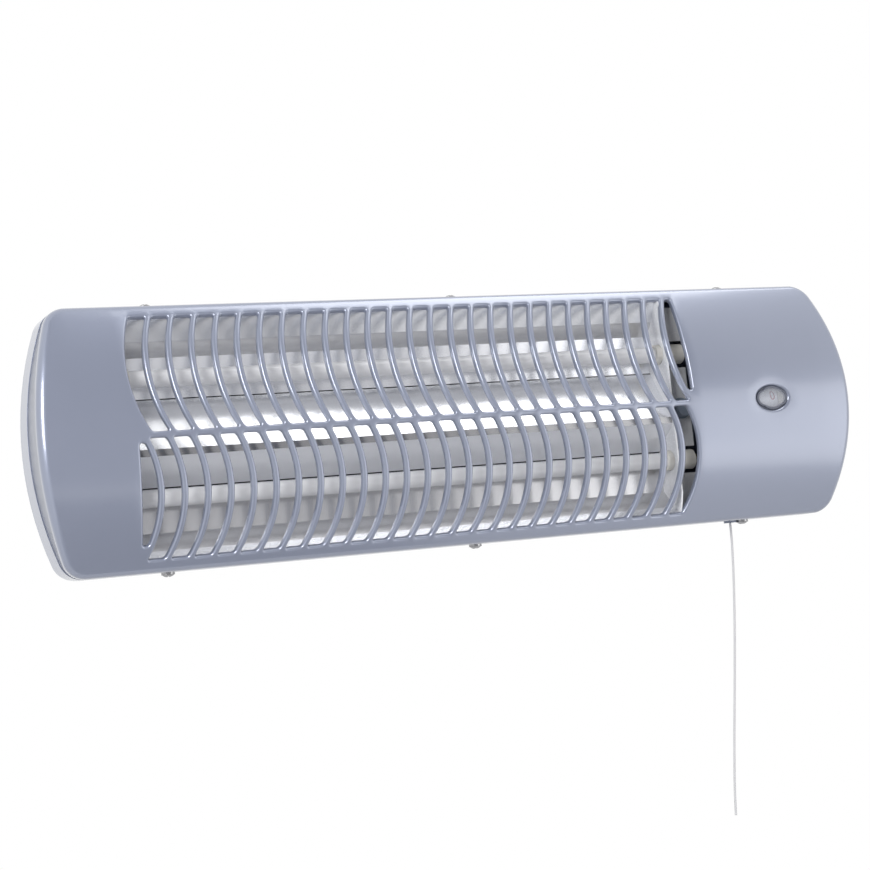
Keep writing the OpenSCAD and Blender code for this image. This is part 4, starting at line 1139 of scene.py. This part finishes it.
lens_stack = lens_rings()
size = len(lens_stack[0])
last = (len(lens_stack) - 1) * size
lens_faces = ring_faces(len(lens_stack), size)
lens_faces += [tuple(range(size)), tuple(range(last, last + size))]
lens = add_mesh("window_moulding", np.concatenate(lens_stack), lens_faces, sharp=50)
outward(lens)
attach(lens, "heater")
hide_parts("window_lens")
dress(lens, clear_plastic)
print("window faces:", len(lens.data.polygons))

# %% [markdown]
# ## The figure on the drum
# The switch shows its state by a figure on a small drum behind the window. The figure for off
# is a slim ring. A picture on the drum would do, but a thin raised ring stays sharp, and it is
# wrapped round the drum by its height.

# %% The figure
DRUM_R, DRUM_Y = 9.0, RIM - 3.0
FIGURE_X, FIGURE_UP = 208.8, 2.2
FIGURE_WIDE, FIGURE_TALL, FIGURE_STROKE, FIGURE_LIFT = 3.7, 6.4, 0.95, 0.05


def drum_figure(count=48):
    """A slim ring on the drum's surface, as points and faces."""
    section = ((0, 0.0), (0, FIGURE_LIFT), (FIGURE_STROKE, FIGURE_LIFT), (FIGURE_STROKE, 0.0))
    points = []
    for k in range(count):
        a = 2 * math.pi * k / count
        for inset, lift in section:
            u = (FIGURE_WIDE / 2 - inset) * math.cos(a)
            v = FIGURE_UP + (FIGURE_TALL / 2 - inset) * math.sin(a)
            r = DRUM_R + lift
            points.append((FIGURE_X + u, DRUM_Y - r * math.cos(v / DRUM_R),
                           r * math.sin(v / DRUM_R)))
    return points, wheel_faces(count, len(section))


figure = add_mesh("drum_figure", *drum_figure(), smooth=False)
outward(figure)
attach(figure, "indicator")
dress(figure, figure_red)
print("figure faces:", len(figure.data.polygons))

# %% [markdown]
# ## A white background and a plain light
# The heater is shown alone against white. A strong white world would do that, but it would
# wash the paint out. So the world has two strengths. It is white for what the camera sees, by
# itself, in a mirror or through glass, and it gives the paint only half of that light.

# %% The world
WORLD_LIGHT = 0.50
WHITE = (1, 1, 1, 1)


def seen_rays(tree):
    """1 for rays that come from the camera, from a mirror or through glass."""
    path = wired(tree, "ShaderNodeLightPath")
    seen = wired(tree, "ShaderNodeMath", [(0, path.outputs["Is Camera Ray"]),
                                          (1, path.outputs["Is Glossy Ray"])],
                 operation="MAXIMUM")
    return wired(tree, "ShaderNodeMath", [(0, seen.outputs[0]),
                                          (1, path.outputs["Is Transmission Ray"])],
                 operation="MAXIMUM").outputs[0]


def white_world(level):
    """A world that is white to the eye and gives light of strength level."""
    world = bpy.data.worlds.new("studio")
    scene.world = world
    world.use_nodes = True
    tree = world.node_tree
    tree.nodes.clear()
    plain = wired(tree, "ShaderNodeBackground", [("Color", WHITE), ("Strength", level)])
    white = wired(tree, "ShaderNodeBackground", [("Color", WHITE), ("Strength", 1.0)])
    mix = wired(tree, "ShaderNodeMixShader", [(0, seen_rays(tree)), (1, plain.outputs[0]),
                                              (2, white.outputs[0])])
    wired(tree, "ShaderNodeOutputWorld", [("Surface", mix.outputs[0])])


white_world(WORLD_LIGHT)
print("world set")

# %% [markdown]
# ## The lamps
# Small lamps show as hard spots in the enamel's clear layer. Large soft ones give it the long
# gentle highlights of a product photograph. One stands above, one at the left and one in front
# at the right, where the curved face mirrors it.

# %% Lamps
MIDDLE = (0, -0.05, 0)  # of the heater, in metres, as are the lamps' sizes and places


def lamp(name, watts, size, spot, aim=MIDDLE):
    """A soft lamp of size (width, height) at spot that looks at aim."""
    data = bpy.data.lights.new(name, "AREA")
    data.shape = "RECTANGLE"
    data.energy, data.size, data.size_y = watts, size[0], size[1]
    obj = bpy.data.objects.new(name, data)
    scene.collection.objects.link(obj)
    look = Vector(aim) - Vector(spot)
    obj.rotation_euler = look.to_track_quat("-Z", "Y").to_euler()
    obj.location = spot


lamp("top", watts=5.0, size=(0.9, 0.6), spot=(0.65, -0.43, 1.25))
lamp("left", watts=17.0, size=(0.5, 0.9), spot=(-1.15, -1.2, 0.5))
lamp("front", watts=5.5, size=(1.2, 1.2), spot=(1.44, -1.60, -0.24), aim=(0.1, -0.05, 0))
print("lamps:", len(bpy.data.lights))

# %% [markdown]
# ## The floor
# A pale floor lies well below the heater and catches what light comes round it. Lit like
# everything else it would turn grey against the white world. Its finish is therefore mixed
# with plain white for the same rays as before, and that white lights nothing.

# %% The floor
FLOOR_HALF, FLOOR_Z, FLOOR_WHITE = 1150.0, -620.0, 0.45


def paled(made, share):
    """Shows a finish partly white to the eye, and gives no light for it."""
    tree = made.node_tree
    surface = tree.nodes["Material Output"].inputs["Surface"]
    part = wired(tree, "ShaderNodeMath", [(0, seen_rays(tree)), (1, share)],
                 operation="MULTIPLY")
    white = wired(tree, "ShaderNodeEmission", [("Color", WHITE), ("Strength", 1.0)])
    mix = wired(tree, "ShaderNodeMixShader", [(0, part.outputs[0]),
                                              (1, surface.links[0].from_socket),
                                              (2, white.outputs[0])])
    tree.links.new(mix.outputs[0], surface)
    return made


floor_corners = [(x * FLOOR_HALF, y * FLOOR_HALF, FLOOR_Z)
                 for x, y in ((-1, -1), (1, -1), (1, 1), (-1, 1))]
floor = add_mesh("floor", floor_corners, [(0, 1, 2, 3)], smooth=False)
dress(floor, paled(finish_of("pale_floor", (0.86, 0.86, 0.87), (0.90, 0.90, 0.90), (0.6, 0.7),
                             scale=3, grain=40, bump=0.0), FLOOR_WHITE))
print("floor", 2 * FLOOR_HALF, "mm wide")

# %% [markdown]
# ## Cards
# Bright metal shows its surroundings, and in an all-white room it has no shape. More lamps
# would only add bright spots. A photographer stands grey cards where the metal mirrors them,
# and so does this scene. The camera doesn't see its two cards, because their material is clear
# to its rays. One stands in front of the heater and leans over it at the top. The other lies
# low at the left, where the lower half of the curved face looks, and it casts no shadow.

# %% Cards
LEFT, RIGHT, TOP_RIGHT = -2500, 1750, 400
FOOT, BEND, TOP = -600, 3000, 6000
AHEAD, TOP_AHEAD = -2300, -2000
STANDING = [(LEFT, AHEAD, FOOT), (RIGHT, AHEAD, FOOT), (RIGHT, AHEAD, BEND),
            (TOP_RIGHT, TOP_AHEAD, TOP), (LEFT, TOP_AHEAD, TOP), (LEFT, AHEAD, BEND)]
LYING = [(-700, -1500, -560), (350, -1500, -560), (250, -350, -610), (-700, -350, -610)]
BLUE_CARD = 1.03  # blue against the other two, in a card's shade


def unseen_card(name, corners, faces, shade, casts=True):
    """A grey card that shows in reflections but not to the camera."""
    made = bpy.data.materials.new(name)
    made.use_nodes = True
    tree = made.node_tree
    tree.nodes.clear()
    path = wired(tree, "ShaderNodeLightPath")
    grey = wired(tree, "ShaderNodeBsdfDiffuse", [("Color", (shade, shade, shade * BLUE_CARD, 1))])
    clear = wired(tree, "ShaderNodeBsdfTransparent")
    mix = wired(tree, "ShaderNodeMixShader", [(0, path.outputs["Is Camera Ray"]),
                                              (1, grey.outputs[0]), (2, clear.outputs[0])])
    wired(tree, "ShaderNodeOutputMaterial", [("Surface", mix.outputs[0])])
    card = add_mesh(name, corners, faces, smooth=False)
    dress(card, made)
    card.visible_shadow = casts


unseen_card("grey_card", STANDING, [(0, 1, 2, 5), (5, 2, 3, 4)], shade=0.95)
unseen_card("low_card", LYING, [(0, 1, 2, 3)], shade=0.46, casts=False)
print("cards set")
